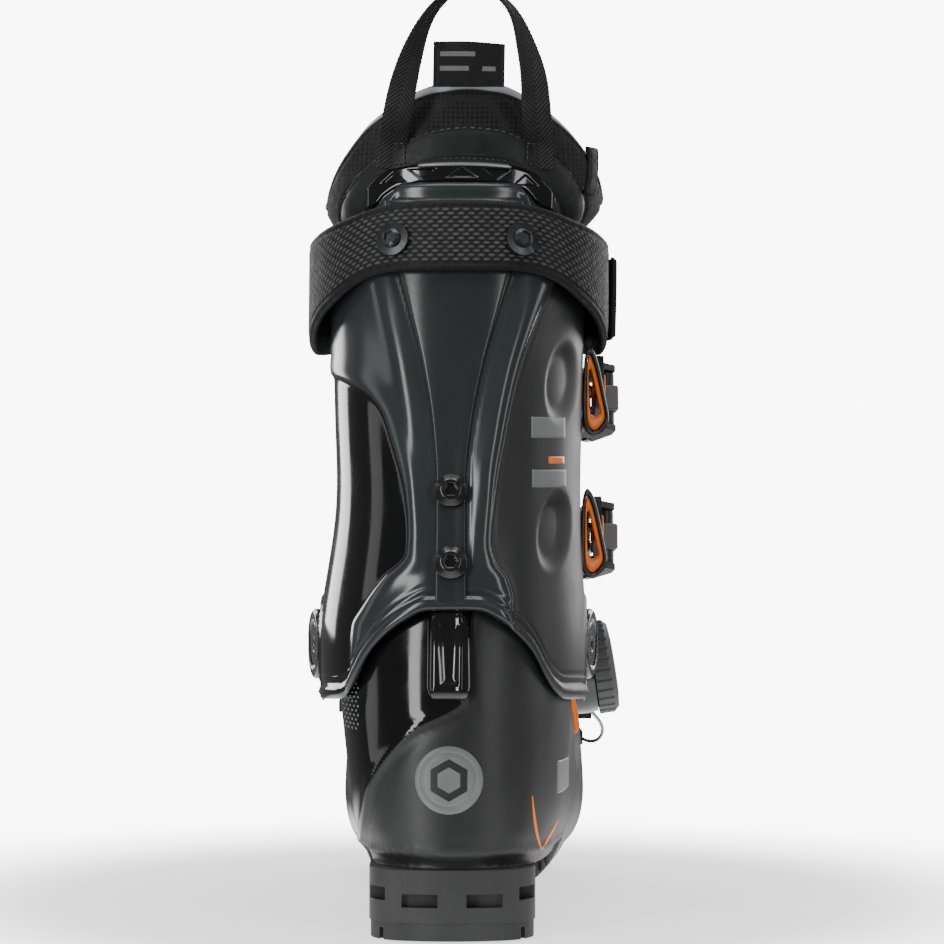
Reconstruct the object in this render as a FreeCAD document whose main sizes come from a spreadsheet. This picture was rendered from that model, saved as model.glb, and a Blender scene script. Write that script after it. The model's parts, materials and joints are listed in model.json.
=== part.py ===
import FreeCAD, Part
import math
import os
from FreeCAD import Placement, Rotation, Vector

# Right alpine ski boot, millimetres. +X lateral, +Y toe, +Z up.
# Origin: the mid-sole mark, halfway along the boot sole, on the plane the treads stand on.

doc = FreeCAD.newDocument("ski_boot")
sheet = doc.addObject("Spreadsheet::Sheet", "Sizes")
SIZES = {
    "sole_length": 305, "heel_width": 70, "tread_height": 7.4, "heel_ledge": 29.5,
    "toe_ledge": 19, "heel_length": 78, "toe_length": 72, "toe_width": 69,
    "shell_wall": 5, "cuff_wall": 4.5, "pivot_y": -58, "pivot_z": 119,
    "pivot_radius": 5, "running_gap": 0.05,
    "bolt_radius": 4, "bolt_head_radius": 7, "bolt_head": 4.2, "socket_width": 5,
    "upper_bolt_z": 187, "lower_bolt_z": 157, "washer_radius": 7.3, "stud_radius": 4.2,
    "dial_radius": 21.5, "dial_y": 8, "dial_z": 103, "dial_x": 55,
    "lace_radius": 0.8, "screw_radius": 2.5, "screw_head_radius": 4.5,
    "lever_thick": 4, "pin_radius": 2,
    "barrel_radius": 4.2, "disc_radius": 14.3, "strap_thick": 4, "liner_wall": 8,
}
for row_number, (alias, value) in enumerate(SIZES.items(), 1):
    cell = "B%d" % row_number
    sheet.set("A%d" % row_number, alias)
    sheet.set(cell, str(value))
    sheet.setAlias(cell, alias)
doc.recompute()


def size(alias):
    return float(getattr(sheet, alias))


parts = []


def keep(feature, label):
    """Name a finished sub-part and remember it for export."""
    feature.Label = label
    parts.append(feature)
    return feature


def feature(label, shape, placement=None):
    """A sub-part whose shape comes from Part's own functions."""
    item = doc.addObject("Part::Feature", label)
    item.Shape = shape
    if placement:
        item.Placement = placement
    return keep(item, label)


def fuse(shapes):
    return shapes[0].multiFuse(shapes[1:]).removeSplitter() if len(shapes) > 1 else shapes[0]


# ---------------------------------------------------------------- curves and skins
RING_POINTS = 20
STEP_ANGLE = 2 * math.pi / RING_POINTS


def power(value, exponent):
    return math.copysign(abs(value) ** (2.0 / exponent), value)


def skin(rings):
    """A closed solid whose side passes smoothly through rings of points, with flat ends."""
    count = len(rings[0])
    turns = [step / count for step in range(count + 1)]
    loops = []
    for ring in rings:
        loop = Part.BSplineCurve()
        loop.interpolate(Points=ring, PeriodicFlag=True, Parameters=turns)
        loops.append(loop)
    climb = [0.0]
    for low, high in zip(rings, rings[1:]):
        climb.append(climb[-1] + sum((b - a).Length for a, b in zip(low, high)) / count)
    columns = []
    for column in zip(*(loop.getPoles() for loop in loops)):
        line = Part.BSplineCurve()
        line.interpolate(Points=list(column), Parameters=climb)
        columns.append(line)
    around, along = loops[0], columns[0]
    surface = Part.BSplineSurface()
    surface.buildFromPolesMultsKnots([line.getPoles() for line in columns], around.getMultiplicities(),
                                     along.getMultiplicities(), around.getKnots(), along.getKnots(),
                                     True, False, around.Degree, along.Degree)
    side = surface.toShape()
    ends = [Part.Face(Part.Wire([edge])) for edge in side.Edges if edge.isClosed()]
    shell = Part.Shell([side] + ends)
    shell.sewShape()
    return Part.Solid(shell)


def prism_x(points, low=-150, high=150):
    """A straight-edged outline in the YZ plane, extruded across the boot."""
    outline = [Vector(low, y, z) for y, z in points]
    return Part.Face(Part.makePolygon(outline + outline[:1])).extrude(Vector(high - low, 0, 0))


def prism_y(points, low=-250, high=250):
    """A straight-edged outline in the XZ plane, extruded along the boot."""
    outline = [Vector(x, low, z) for x, z in points]
    return Part.Face(Part.makePolygon(outline + outline[:1])).extrude(Vector(0, high - low, 0))


def box(low, high):
    return Part.makeBox(high[0] - low[0], high[1] - low[1], high[2] - low[2], Vector(*low))


def cylinder(radius, start, along, length):
    return Part.makeCylinder(radius, length, Vector(*start), Vector(*along))


# ---------------------------------------------------------------- lower shell surface
# Sections run from the toe, upright, then fan round the instep until they lie level at the ankle.
# Each row: top (y, z), bottom (y, z), medial half width, lateral half width, bottom squareness.
FOOT_ROWS = (
    ((146, 50), (146, 16), 15, 15, 2.2),
    ((141, 60), (141, 11), 28, 30, 2.6),
    ((126, 70), (126, 9), 41, 45, 3.2),
    ((100, 79), (100, 8), 49, 56, 3.4),
    ((62, 98), (62, 8), 52.5, 61.6, 3.4),
    ((30, 125), (30, 8), 50, 59.5, 3.2),
    ((14, 137), (-37, 8), 47.5, 57, 3.0),
    ((8, 147), (-100, 8), 46, 53, 2.6),
    ((6, 154), (-143, 17), 46.5, 51, 2.3),
    ((5, 160), (-149.5, 52), 49, 52, 2.2),
    ((4, 166), (-149, 92), 51, 51.5, 2.2),
    ((3, 170), (-143.8, 126), 50, 50.2, 2.2),
    ((2, 175), (-132, 158), 47.5, 48.5, 2.2),
    ((1, 186), (-124, 184), 47, 49, 2.2),
)
TOP_SQUARE = 2.2


def foot_point(row, angle, grow=0.0, floor=None):
    """A point on one section of the lower shell; angle 0 is the top, a quarter turn lateral."""
    (top_y, top_z), (low_y, low_z), medial, lateral, square = row
    if floor is not None:
        low_z = max(low_z, floor(low_y) + grow)
    top = Vector(0, top_y, top_z)
    low = Vector(0, low_y, low_z)
    along = (top - low).normalize()
    reach = (top - low).Length / 2 + grow
    bend = TOP_SQUARE if math.cos(angle) > 0 else square
    width = (lateral if math.sin(angle) > 0 else medial) + grow
    across = Vector(width * power(math.sin(angle), bend), 0, 0)
    return (top + low) / 2 + along * reach * power(math.cos(angle), bend) + across


def foot_skin(grow, rows=FOOT_ROWS, floor=None):
    return skin([[foot_point(row, step * STEP_ANGLE, grow, floor) for step in range(RING_POINTS)]
                 for row in rows])


# ---------------------------------------------------------------- level rings round the leg
# Each row: z, rear y, front y, medial x, lateral x.
CUFF_ROWS = (
    (85, -150, 44, -57, 58),
    (119, -149.5, 40, -60.5, 60),
    (150, -144.5, 34, -57, 58.5),
    (180, -138, 29, -53, 57.3),
    (215, -129, 28, -53.5, 58),
    (250, -120.5, 32, -54.5, 59),
    (285, -112.5, 39, -55.5, 60),
    (325, -104, 48, -55, 60),
)
LINER_ROWS = (
    (160, -136, 26, -48, 52),
    (180, -131, 22.5, -46, 50.3),
    (215, -122, 21, -46.6, 51),
    (250, -113.8, 25, -48, 52.4),
    (285, -106.8, 33, -50, 54.4),
    (301, -102.8, 38, -51, 55.5),
    (311, -100.8, 41, -56.5, 64),
    (322, -98.6, 44, -58.5, 68.5),
    (342, -96.2, 47.5, -58.5, 69),
    (368, -92.5, 50, -56, 67),
)
STRAP_ROWS = (
    (235, -125.5, 38, -61, 64.5),
    (285, -113.6, 45.5, -61, 66),
    (330, -103.5, 55, -61, 66),
)
RING_SQUARE = 2.25
RING_SEAM = -2          # the skins' seam runs down the rear lateral side, clear of every hole


def ring_reach(rows, z):
    """Rear, front, medial and lateral reach at a height, between the rows."""
    for low, high in zip(rows, rows[1:]):
        if z <= high[0]:
            break
    share = (z - low[0]) / (high[0] - low[0])
    return [a + (b - a) * share for a, b in zip(low[1:], high[1:])]


def ring_point(reach, z, angle, grow=0.0):
    """A point on a level ring; angle 0 lateral, a quarter turn at the toe side."""
    rear, front, medial, lateral = reach
    half_x = (lateral - medial) / 2 + grow
    half_y = (front - rear) / 2 + grow
    return Vector((medial + lateral) / 2 + half_x * power(math.cos(angle), RING_SQUARE),
                  (rear + front) / 2 + half_y * power(math.sin(angle), RING_SQUARE), z)


def ring_skin(rows, grow):
    return skin([[ring_point(row[1:], row[0], step * STEP_ANGLE, grow)
                  for step in range(RING_SEAM, RING_SEAM + RING_POINTS)] for row in rows])


def cuff_point(angle_deg, z, grow=0.0):
    """A point off the cuff's outside and the level outward normal there."""
    reach = ring_reach(CUFF_ROWS, z)
    angle = math.radians(angle_deg)
    step = 0.01
    point = ring_point(reach, z, angle)
    tangent = ring_point(reach, z, angle + step) - ring_point(reach, z, angle - step)
    normal = Vector(tangent.y, -tangent.x, 0).normalize()
    return point + normal * grow, normal


def facing(point, normal):
    """Placement that stands a turned piece (built along +Z) on a point, facing out."""
    return Placement(Vector(point), Rotation(Vector(0, 0, 1), Vector(normal)))


# ---------------------------------------------------------------- sizes used below
WALL = size("shell_wall")
CUFF_WALL = size("cuff_wall")
HEEL_LEDGE = size("heel_ledge")
TOE_LEDGE = size("toe_ledge")
HALF_SOLE = size("sole_length") / 2
HALF_HEEL = size("heel_width") / 2
HALF_TOE = size("toe_width") / 2
HEEL_FRONT = size("heel_length") - HALF_SOLE
TOE_REAR = HALF_SOLE - size("toe_length")
PIVOT_Y = size("pivot_y")
PIVOT_Z = size("pivot_z")
PIVOT_R = size("pivot_radius")
GAP = size("running_gap")
FIT = 0.3
FLAP = 4.0
COLLAR_TOP = 157


def cavity_floor(y):
    """The shell's inside floor climbs from the toe to the heel."""
    return TOE_LEDGE + WALL + (HEEL_LEDGE - TOE_LEDGE) * min(1, max(0, (100 - y) / 180))


def floor_slab(low, high):
    """A ramp-shaped layer that follows the inside floor, from low to high above it."""
    stations = (-170, -80, 100, 170)
    below = [(y, cavity_floor(y) + low) for y in stations]
    above = [(y, cavity_floor(y) + high) for y in reversed(stations)]
    return prism_x(below + above)


outer_foot = foot_skin(0)
inner_foot = foot_skin(-WALL, FOOT_ROWS[1:], cavity_floor)
cuff_body = ring_skin(CUFF_ROWS, 0)


# ---------------------------------------------------------------- PartDesign helpers
def plane_of(body, role):
    return next(item for item in body.Origin.OriginFeatures if item.Role == role)


def start_body(label):
    return doc.addObject("PartDesign::Body", label)


def sketch_on(body, role, edges, name, lift=None):
    sketch = body.newObject("Sketcher::SketchObject", name)
    sketch.AttachmentSupport = [(plane_of(body, role), "")]
    sketch.MapMode = "FlatFace"
    if lift:
        sketch.AttachmentOffset = Placement(Vector(0, 0, lift), Rotation())
    for edge in edges:
        sketch.addGeometry(edge, False)
    return sketch


def outline(points):
    """Closed straight outline as line geometry."""
    corners = [Vector(a, b, 0) for a, b in points]
    return [Part.LineSegment(p, q) for p, q in zip(corners, corners[1:] + corners[:1])]


def sunk(body, name, edges, depth_rule, lift, role="XY_Plane", reverse=False):
    """A pocket that has to take material away."""
    before = body.Shape.Volume
    pocket = body.newObject("PartDesign::Pocket", name)
    pocket.Profile = sketch_on(body, role, edges, name + "_sketch", lift)
    pocket.setExpression("Length", depth_rule)
    pocket.Reversed = reverse
    doc.recompute()
    if body.Shape.Volume >= before - 0.01:
        raise RuntimeError("pocket %s cut nothing" % name)
    return pocket


def turned(label, profile, socket_depth=0.0, top=0.0):
    """A turned piece about Z from (radius, height) corners, with an optional hex socket."""
    body = start_body(label)
    spin = body.newObject("PartDesign::Revolution", label + "_turn")
    spin.Profile = sketch_on(body, "XZ_Plane", outline(profile), label + "_profile")
    spin.ReferenceAxis = (spin.Profile[0], ["V_Axis"])
    spin.Angle = 360
    doc.recompute()
    if socket_depth:
        across = size("socket_width") / math.sqrt(3)
        hexagon = [(across * math.cos(math.radians(60 * side)),
                    across * math.sin(math.radians(60 * side))) for side in range(6)]
        sunk(body, label + "_socket", outline(hexagon), str(socket_depth), top)
    return body


def at(body, placement):
    shape = body.Shape.copy()
    shape.Placement = placement.multiply(shape.Placement)
    return shape


def group(label, body, placements):
    """Identical fasteners: one node holding separate copies of one piece."""
    return feature(label, Part.makeCompound([at(body, placement) for placement in placements]))


def hexagon_head(radius, height, shank_radius, shank_length):
    """Profile of a domed screw: the head stands above z = 0, the shank hangs below."""
    return ((0, height), (radius * 0.6, height), (radius, height * 0.45), (radius, 0),
            (shank_radius, 0), (shank_radius, -shank_length), (0, -shank_length))


# ---------------------------------------------------------------- soles and treads
SCREW_SPOTS = ((-18, -118), (18, -118), (-22, -88), (22, -88), (-24, 96), (24, 96), (-13, 128), (13, 128))
SCREW_R = size("screw_radius")
SCREW_HEAD_R = size("screw_head_radius")
SCREW_SEAT = 3.2
SCREW_TOP_HEEL = 33.0
SCREW_TOP_TOE = 22.5


def rounded_end(half, straight, end):
    """Sole outline with a full rounded end: two corners, two side lines and three arcs."""
    step = 1 if end > straight else -1
    shoulder = end - step * half * 0.62
    left = Vector(-half, straight, 0)
    right = Vector(half, straight, 0)
    right_shoulder = Vector(half, shoulder, 0)
    left_shoulder = Vector(-half, shoulder, 0)
    right_nose = Vector(half * 0.5, end - step * 2.2, 0)
    left_nose = Vector(-half * 0.5, end - step * 2.2, 0)
    bulge = Vector(half * 0.86, end - step * half * 0.25, 0)
    mirror = Vector(-half * 0.86, end - step * half * 0.25, 0)
    return [Part.LineSegment(left, right), Part.LineSegment(right, right_shoulder),
            Part.Arc(right_shoulder, bulge, right_nose),
            Part.Arc(right_nose, Vector(0, end, 0), left_nose),
            Part.Arc(left_nose, mirror, left_shoulder), Part.LineSegment(left_shoulder, left)]


def sole_piece(label, half, straight, end, low_rule, high_rule):
    """A sole block or tread as a pad between two of the sheet's heights."""
    body = start_body(label)
    pad = body.newObject("PartDesign::Pad", label + "_pad")
    pad.Profile = sketch_on(body, "XY_Plane", rounded_end(half, straight, end), label + "_outline")
    pad.setExpression("Length", "%s - %s" % (high_rule, low_rule))
    body.setExpression("Placement.Base.z", low_rule)
    doc.recompute()
    return body


TREAD_INSET = 0.6
heel_block_body = sole_piece("heel_block_body", HALF_HEEL, HEEL_FRONT, -HALF_SOLE,
                             "Sizes.tread_height", "Sizes.heel_ledge")
heel_pad_body = sole_piece("heel_pad_body", HALF_HEEL - TREAD_INSET, HEEL_FRONT,
                           TREAD_INSET - HALF_SOLE, "0", "Sizes.tread_height")
toe_block_body = sole_piece("toe_block_body", HALF_TOE, TOE_REAR, HALF_SOLE,
                            "Sizes.tread_height", "Sizes.toe_ledge")
toe_pad_body = sole_piece("toe_pad_body", HALF_TOE - TREAD_INSET, TOE_REAR,
                          HALF_SOLE - TREAD_INSET, "0", "Sizes.tread_height")


def screw_solid(spot, top, spare=0.0):
    x, y = spot
    head = cylinder(SCREW_HEAD_R + spare, (x, y, SCREW_SEAT), (0, 0, 1), 3.2)
    shank = cylinder(SCREW_R + spare, (x, y, SCREW_SEAT), (0, 0, 1), top - SCREW_SEAT)
    return head.fuse(shank)


def screw_way(spot, top):
    """The screw and the open well under its head."""
    well = cylinder(SCREW_HEAD_R, (spot[0], spot[1], -1), (0, 0, 1), SCREW_SEAT + 1)
    return screw_solid(spot, top).fuse(well)


screws = [screw_solid(spot, SCREW_TOP_HEEL if spot[1] < 0 else SCREW_TOP_TOE) for spot in SCREW_SPOTS]
screw_ways = [screw_way(spot, SCREW_TOP_HEEL if spot[1] < 0 else SCREW_TOP_TOE) for spot in SCREW_SPOTS]
sockets = [cylinder(1.5, (x, y, SCREW_SEAT), (0, 0, 1), 1.6) for x, y in SCREW_SPOTS]
feature("sole_screws", Part.makeCompound([screw.cut(hex_hole) for screw, hex_hole in zip(screws, sockets)]))

# Moulded recesses of the heel block: two flat windows at the rear, two at the rounded corners.
windows = [box((side * 13.5 - 7.5, -HALF_SOLE - 1, 14), (side * 13.5 + 7.5, 6 - HALF_SOLE, 19.5))
           for side in (-1, 1)]
windows += [box((side * 33 - 5, -HALF_SOLE + 6, 16.5), (side * 33 + 5, -HALF_SOLE + 17, 22))
            for side in (-1, 1)]
feature("heel_block", heel_block_body.Shape.cut(Part.makeCompound(screw_ways + windows)))
slots = [box((side * 29.5 - 0.8, -HALF_SOLE - 1, -1), (side * 29.5 + 0.8, -HALF_SOLE + 12, 5))
         for side in (-1, 1)]
slots += [box((-40, y, -1), (40, y + 2.5, 2.2)) for y in (-132, -108, -98)]
feature("heel_pad", heel_pad_body.Shape.cut(Part.makeCompound(screw_ways + slots)))
feature("toe_block", toe_block_body.Shape.cut(Part.makeCompound(screw_ways)))
grooves = [box((-40, y, -1), (40, y + 2.5, 2.2)) for y in (106, 116, 138)]
feature("toe_pad", toe_pad_body.Shape.cut(Part.makeCompound(screw_ways + grooves)))

# ---------------------------------------------------------------- lower shell
heel_room = box((-60, -200, -5), (60, HEEL_FRONT, HEEL_LEDGE))
toe_room = box((-60, TOE_REAR, -5), (60, 200, TOE_LEDGE))
above_collar = box((-150, -250, COLLAR_TOP), (150, 250, 300))
SHELL_BORE_HALF = 75


def pivot_rod(radius, half_length=SHELL_BORE_HALF):
    return cylinder(radius, (-half_length, PIVOT_Y, PIVOT_Z), (1, 0, 0), 2 * half_length)


DIAL_TILT = math.radians(9)
DIAL_AXIS = Vector(math.cos(DIAL_TILT), 0, math.sin(DIAL_TILT))
DIAL_SEAT = Vector(size("dial_x"), size("dial_y"), size("dial_z"))


def on_dial(shape, lift):
    """Stand a piece built along +Z on the dial's axis, lifted off the seat."""
    shape = shape.copy()
    shape.Placement = facing(DIAL_SEAT + DIAL_AXIS * lift, DIAL_AXIS).multiply(shape.Placement)
    return shape


shell = outer_foot.cut(inner_foot)
shell = shell.cut(Part.makeCompound([heel_room, toe_room, above_collar]))
nut_notch = box((-12, -170, 146), (11, -110, 170))
shell = shell.cut(pivot_rod(PIVOT_R)).cut(Part.makeCompound(screw_ways)).cut(nut_notch)
feature("lower_shell", shell)

# Overlapping instep flap: a second skin over the top of the foot, lateral side over medial.
flap_skin = foot_skin(FLAP).cut(outer_foot)
flap_region = prism_x(((104, 60), (104, 120), (48, 128), (26, 134), (30, 90), (60, 60)), -34, 42)
feature("instep_flap", flap_skin.common(flap_region))

# ---------------------------------------------------------------- boot board, footbed, liner foot
inside = foot_skin(-WALL - FIT, FOOT_ROWS[1:], lambda y: cavity_floor(y) + FIT)
screw_tips = [screw_solid(spot, (SCREW_TOP_HEEL if spot[1] < 0 else SCREW_TOP_TOE) + FIT, FIT)
              for spot in SCREW_SPOTS]
feature("boot_board", inside.common(floor_slab(-30, 3.6)).cut(Part.makeCompound(screw_tips)))
sock = foot_skin(-WALL - FIT - size("liner_wall"), FOOT_ROWS[2:], lambda y: cavity_floor(y) + 5.5)
pivot_pads = Part.makeCompound([cylinder(11, (side * 47.2, PIVOT_Y, PIVOT_Z), (-side, 0, 0), 5)
                                for side in (-1, 1)])
below_split = box((-150, -250, -10), (150, 250, 161))
liner_foot = inside.cut(sock).cut(floor_slab(-30, 3.9)).common(below_split).cut(pivot_pads)
feature("liner_foot", liner_foot)
feature("footbed", sock.common(floor_slab(6.2, 10.5)))

# ---------------------------------------------------------------- rear spine cap, heel disc, accent
spine = box((-10.6, -154.6, 99.6), (8.6, -140, 139.6))
spine = spine.makeFillet(4.5, [edge for edge in spine.Edges if abs(edge.Length - 40) < 0.1])
cuff_room = ring_skin(CUFF_ROWS, 0.8).common(box((-80, -200, 136.2), (80, 100, 200)))
feature("spine_cap", spine.cut(outer_foot).cut(cuff_room))
emblem = cylinder(size("disc_radius"), (-1.3, -160, 66.8), (0, 1, 0), 30)
feature("heel_disc", foot_skin(0.9).cut(outer_foot).common(emblem))
accent = prism_y(((25, 42), (31.5, 41), (29.5, 52), (26.5, 62), (28, 51)), -200, -60)
feature("heel_accent", foot_skin(0.7).cut(outer_foot).common(accent))

# ---------------------------------------------------------------- cuff shell
HEM = ((-175, 139), (-128, 138), (-100, 116), (-72, 97), (-56, 94.5), (-43, 98), (-36, 114),
       (-24, 138), (8, 150), (70, 152))
RIM = ((70, 296), (10, 292), (-50, 296), (-80, 306), (-96, 318.6), (-140, 318.6))
CREST_MIDDLE = 2.5
CREST_HALF = ((25.5, 318.7), (29.5, 315), (33.5, 303), (90, 301), (90, 60))


def rear_crest(spare=0.0):
    """The cuff's rear edge stands high in the middle and steps down on both sides."""
    lateral = [(CREST_MIDDLE + x + spare, z + spare) for x, z in CREST_HALF]
    medial = [(CREST_MIDDLE - x - spare, z + spare) for x, z in reversed(CREST_HALF)]
    return prism_y(lateral + medial)


cuff_side = prism_x(HEM + RIM).common(rear_crest())
ring = cuff_body.cut(ring_skin(CUFF_ROWS, -CUFF_WALL))
slit = prism_y(((12, 90), (15, 90), (20, 330), (17, 330)), 0, 120)
overlap = ring_skin(CUFF_ROWS, FLAP).cut(cuff_body)
overlap = overlap.common(prism_y(((-24, 90), (34, 90), (38, 330), (-22, 330)), 0, 120))
cuff = ring.cut(slit).fuse(overlap).common(cuff_side).cut(pivot_rod(PIVOT_R + GAP))
BOLT_X = -0.6
BOLT_SEAT = 1.5
BOLT_GAP = 0.15
REAR_SLOPE = 0.24
BOLT_R = size("bolt_radius")
rear_bolts = []
for name in ("upper_bolt_z", "lower_bolt_z"):
    spot, outward = cuff_point(-90, size(name))
    spot.x = BOLT_X
    rear_bolts.append(facing(spot + outward * BOLT_SEAT, outward + Vector(0, 0, REAR_SLOPE)))
bolt_rods = [cylinder(BOLT_R + BOLT_GAP, place.Base - place.Rotation.multVec(Vector(0, 0, 12)),
                      place.Rotation.multVec(Vector(0, 0, 1)), 20) for place in rear_bolts]
feature("cuff_shell", cuff.cut(Part.makeCompound(bolt_rods)))

INSERT_LIFT = 0.75
insert_outline = ((-9, 140), (7.5, 140), (5.8, 195), (12, 232), (27, 284), (29, 304), (-26, 304),
                  (-24, 284), (-17, 232), (-7.2, 195))
insert = ring_skin(CUFF_ROWS, INSERT_LIFT).cut(cuff_body).common(prism_y(insert_outline, -250, -70))
feature("spine_insert", insert.cut(Part.makeCompound(bolt_rods)))

bolt = turned("rear_bolt", hexagon_head(size("bolt_head_radius"), size("bolt_head"), BOLT_R, 7.6), 2.4,
              size("bolt_head"))
group("rear_bolts", bolt, rear_bolts)
nut = turned("rear_nut", ((BOLT_R, -6.6), (8, -6.6), (8, -8), (BOLT_R, -8)))
nut_shapes = [at(nut, place).cut(ring_skin(CUFF_ROWS, 0).cut(ring_skin(CUFF_ROWS, -CUFF_WALL)))
              for place in rear_bolts]
feature("rear_nuts", Part.makeCompound(nut_shapes))

# ---------------------------------------------------------------- cuff pivots
pivot_screw = turned("pivot_screw", ((0, 0.9), (3, 0.9), (3.4, 3.4), (9.4, 3.4), (10.4, 2.2), (11.2, 3.9),
                                     (14.4, 3.9), (15.5, 2.6), (15.5, 0), (PIVOT_R, 0),
                                     (PIVOT_R, -15.2), (0, -15.2)))
for label, side, reach in (("pivot_bolt_medial", -1, 61.2), ("pivot_bolt_lateral", 1, 60.9)):
    place = facing(Vector(side * reach, PIVOT_Y, PIVOT_Z), Vector(side, 0, 0))
    feature(label, at(pivot_screw, place))
flange = turned("pivot_flange", ((PIVOT_R, 0), (9, 0), (9, 3), (PIVOT_R, 3)))
NUT_REACH = 43.2
shell_wall_solid = outer_foot.cut(inner_foot)
flanges = [at(flange, facing(Vector(side * NUT_REACH, PIVOT_Y, PIVOT_Z), Vector(side, 0, 0)))
           for side in (-1, 1)]
feature("pivot_nuts", Part.makeCompound([each.cut(shell_wall_solid) for each in flanges]))

# ---------------------------------------------------------------- liner shaft, tongue, loop, label
liner_outer = ring_skin(LINER_ROWS, 0)
liner_inner = ring_skin(LINER_ROWS, -size("liner_wall"))
ARCH = ((-80, 150), (-80, 300), (-58, 300), (-56.5, 318), (-52, 329), (-45, 339), (-36, 348.5), (-22, 357),
        (-6, 362.5), (6.6, 364), (20, 362.5), (36, 356), (48, 348), (57.5, 338.5), (64.5, 328),
        (68.5, 317), (72, 300), (90, 300), (90, 150))
liner_side = prism_x(((-180, 163), (PIVOT_Y, 163), (80, 182), (80, 326), (20, 330), (-30, 366), (-180, 366)))
liner_ring = liner_outer.cut(liner_inner).common(prism_y(ARCH)).common(liner_side)
tongue_room = box((-25, 5, 100), (31, 90, 400))
nut_wells = [cylinder(9, place.Base - place.Rotation.multVec(Vector(0, 0, 12)),
                      place.Rotation.multVec(Vector(0, 0, 1)), 8) for place in rear_bolts]
cuff_wall_room = ring_skin(CUFF_ROWS, FIT).cut(ring_skin(CUFF_ROWS, -CUFF_WALL - FIT))
cuff_wall_room = cuff_wall_room.common(prism_x(HEM + tuple((y, z + FIT) for y, z in RIM)))
cuff_wall_room = cuff_wall_room.common(rear_crest(FIT))
feature("liner_cuff", liner_ring.cut(tongue_room).cut(Part.makeCompound(nut_wells)).cut(cuff_wall_room))
tongue_region = box((-24.5, 5, 186), (30.5, 90, 352))
tongue = ring_skin(LINER_ROWS, -0.4).cut(ring_skin(LINER_ROWS, -10)).common(tongue_region)
feature("tongue", tongue)

loop_points = ((-24, 326), (-22.5, 350), (-18.5, 374), (-10, 393), (0, 401), (8.4, 403.5), (17, 401),
               (26, 393), (33, 374), (34, 350), (33.5, 326))


def ribbon(points, thick):
    """A strap outline: a smooth line thickened sideways in its own plane."""
    middle = [Vector(x, 0, z) for x, z in points]
    sides = []
    for step in (-1, 1):
        line = []
        for index, point in enumerate(middle):
            before = middle[max(0, index - 1)]
            after = middle[min(len(middle) - 1, index + 1)]
            along = (after - before).normalize()
            line.append(point + Vector(along.z, 0, -along.x) * step * thick / 2)
        sides.append(line)
    curves = []
    for line in sides:
        curve = Part.BSplineCurve()
        curve.interpolate(Points=line)
        curves.append(curve.toShape())
    ends = [Part.LineSegment(sides[0][0], sides[1][0]).toShape(),
            Part.LineSegment(sides[0][-1], sides[1][-1]).toShape()]
    return Part.Face(Part.Wire(Part.__sortEdges__(curves + ends)))


LOOP_Y = -109
loop = ribbon(loop_points, 3).extrude(Vector(0, 10, 0))
loop.translate(Vector(0, LOOP_Y, 0))
feature("pull_loop", loop.cut(ring_skin(LINER_ROWS, 0.3)))
label_tab = box((-8.3, -103.6, 352), (22.3, -101.4, 377))
feature("label_tab", label_tab.cut(ring_skin(LINER_ROWS, 0.2)))

# ---------------------------------------------------------------- power strap
band = prism_x(((-135, 281), (-112, 281), (-85, 268), (-50, 254), (-20, 248), (15, 251), (75, 262),
                (75, 305), (15, 297), (-20, 296), (-50, 298), (-85, 304), (-112, 312), (-135, 312)))
strap_inner = ring_skin(STRAP_ROWS, 0)
strap = ring_skin(STRAP_ROWS, size("strap_thick")).cut(strap_inner)
feature("power_strap", strap.common(band))
TAB_TURN = math.radians(33)
HEM_R = 2.0
TAB_GAP = 0.4


def strap_spot(z, turn, grow):
    """A point off the strap's inner ring and the level outward normal there."""
    reach = ring_reach(STRAP_ROWS, z)
    tangent = ring_point(reach, z, turn + 0.01) - ring_point(reach, z, turn - 0.01)
    outward = Vector(tangent.y, -tangent.x, 0).normalize()
    return ring_point(reach, z, turn) + outward * grow, outward


# The tab's front end is a rolled hem; the tab peels open about the hem's centre line.
STRAP_THICK = size("strap_thick")
hem_low, out_low = strap_spot(254, TAB_TURN, STRAP_THICK + TAB_GAP + HEM_R)
hem_high, out_high = strap_spot(291.5, TAB_TURN, STRAP_THICK + TAB_GAP + HEM_R)
hem_line = (hem_high - hem_low).normalize()
hem_ahead = hem_line.cross(out_low + out_high).normalize()
hem = cylinder(HEM_R, hem_low, hem_line, (hem_high - hem_low).Length)
past_hem = Part.makeBox(60, 60, 120, Vector(-30, 0, -40))
past_hem.Placement = Placement(hem_low, Rotation(out_low, hem_ahead, hem_line, "ZYX"))
tab = ring_skin(STRAP_ROWS, STRAP_THICK + 3.4).cut(ring_skin(STRAP_ROWS, STRAP_THICK + TAB_GAP))
tab_region = prism_x(((-44, 254), (60, 254), (60, 291), (-44, 292)), 20, 150)
feature("strap_tab", tab.common(tab_region).cut(past_hem).fuse(hem))
stud = turned("strap_stud", ((0, 3.6), (2.6, 3.6), (size("stud_radius"), 2.6), (size("stud_radius"), 1.4),
                             (size("washer_radius"), 1), (size("washer_radius"), 0), (0, 0)), 1.2, 3.6)
STUD_Z = 294.4
stud_places = []
for x in (-25.2, 29.4):
    reach = ring_reach(STRAP_ROWS, STUD_Z)
    middle = (reach[2] + reach[3]) / 2
    half = (reach[3] - reach[2]) / 2 + STRAP_THICK
    share = (x - middle) / half
    turn = -math.acos(math.copysign(abs(share) ** (RING_SQUARE / 2), share))
    spot, outward = strap_spot(STUD_Z, turn, STRAP_THICK + 0.7)
    stud_places.append(facing(spot, outward + Vector(0, 0, REAR_SLOPE)))
group("strap_studs", stud, stud_places)

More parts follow.
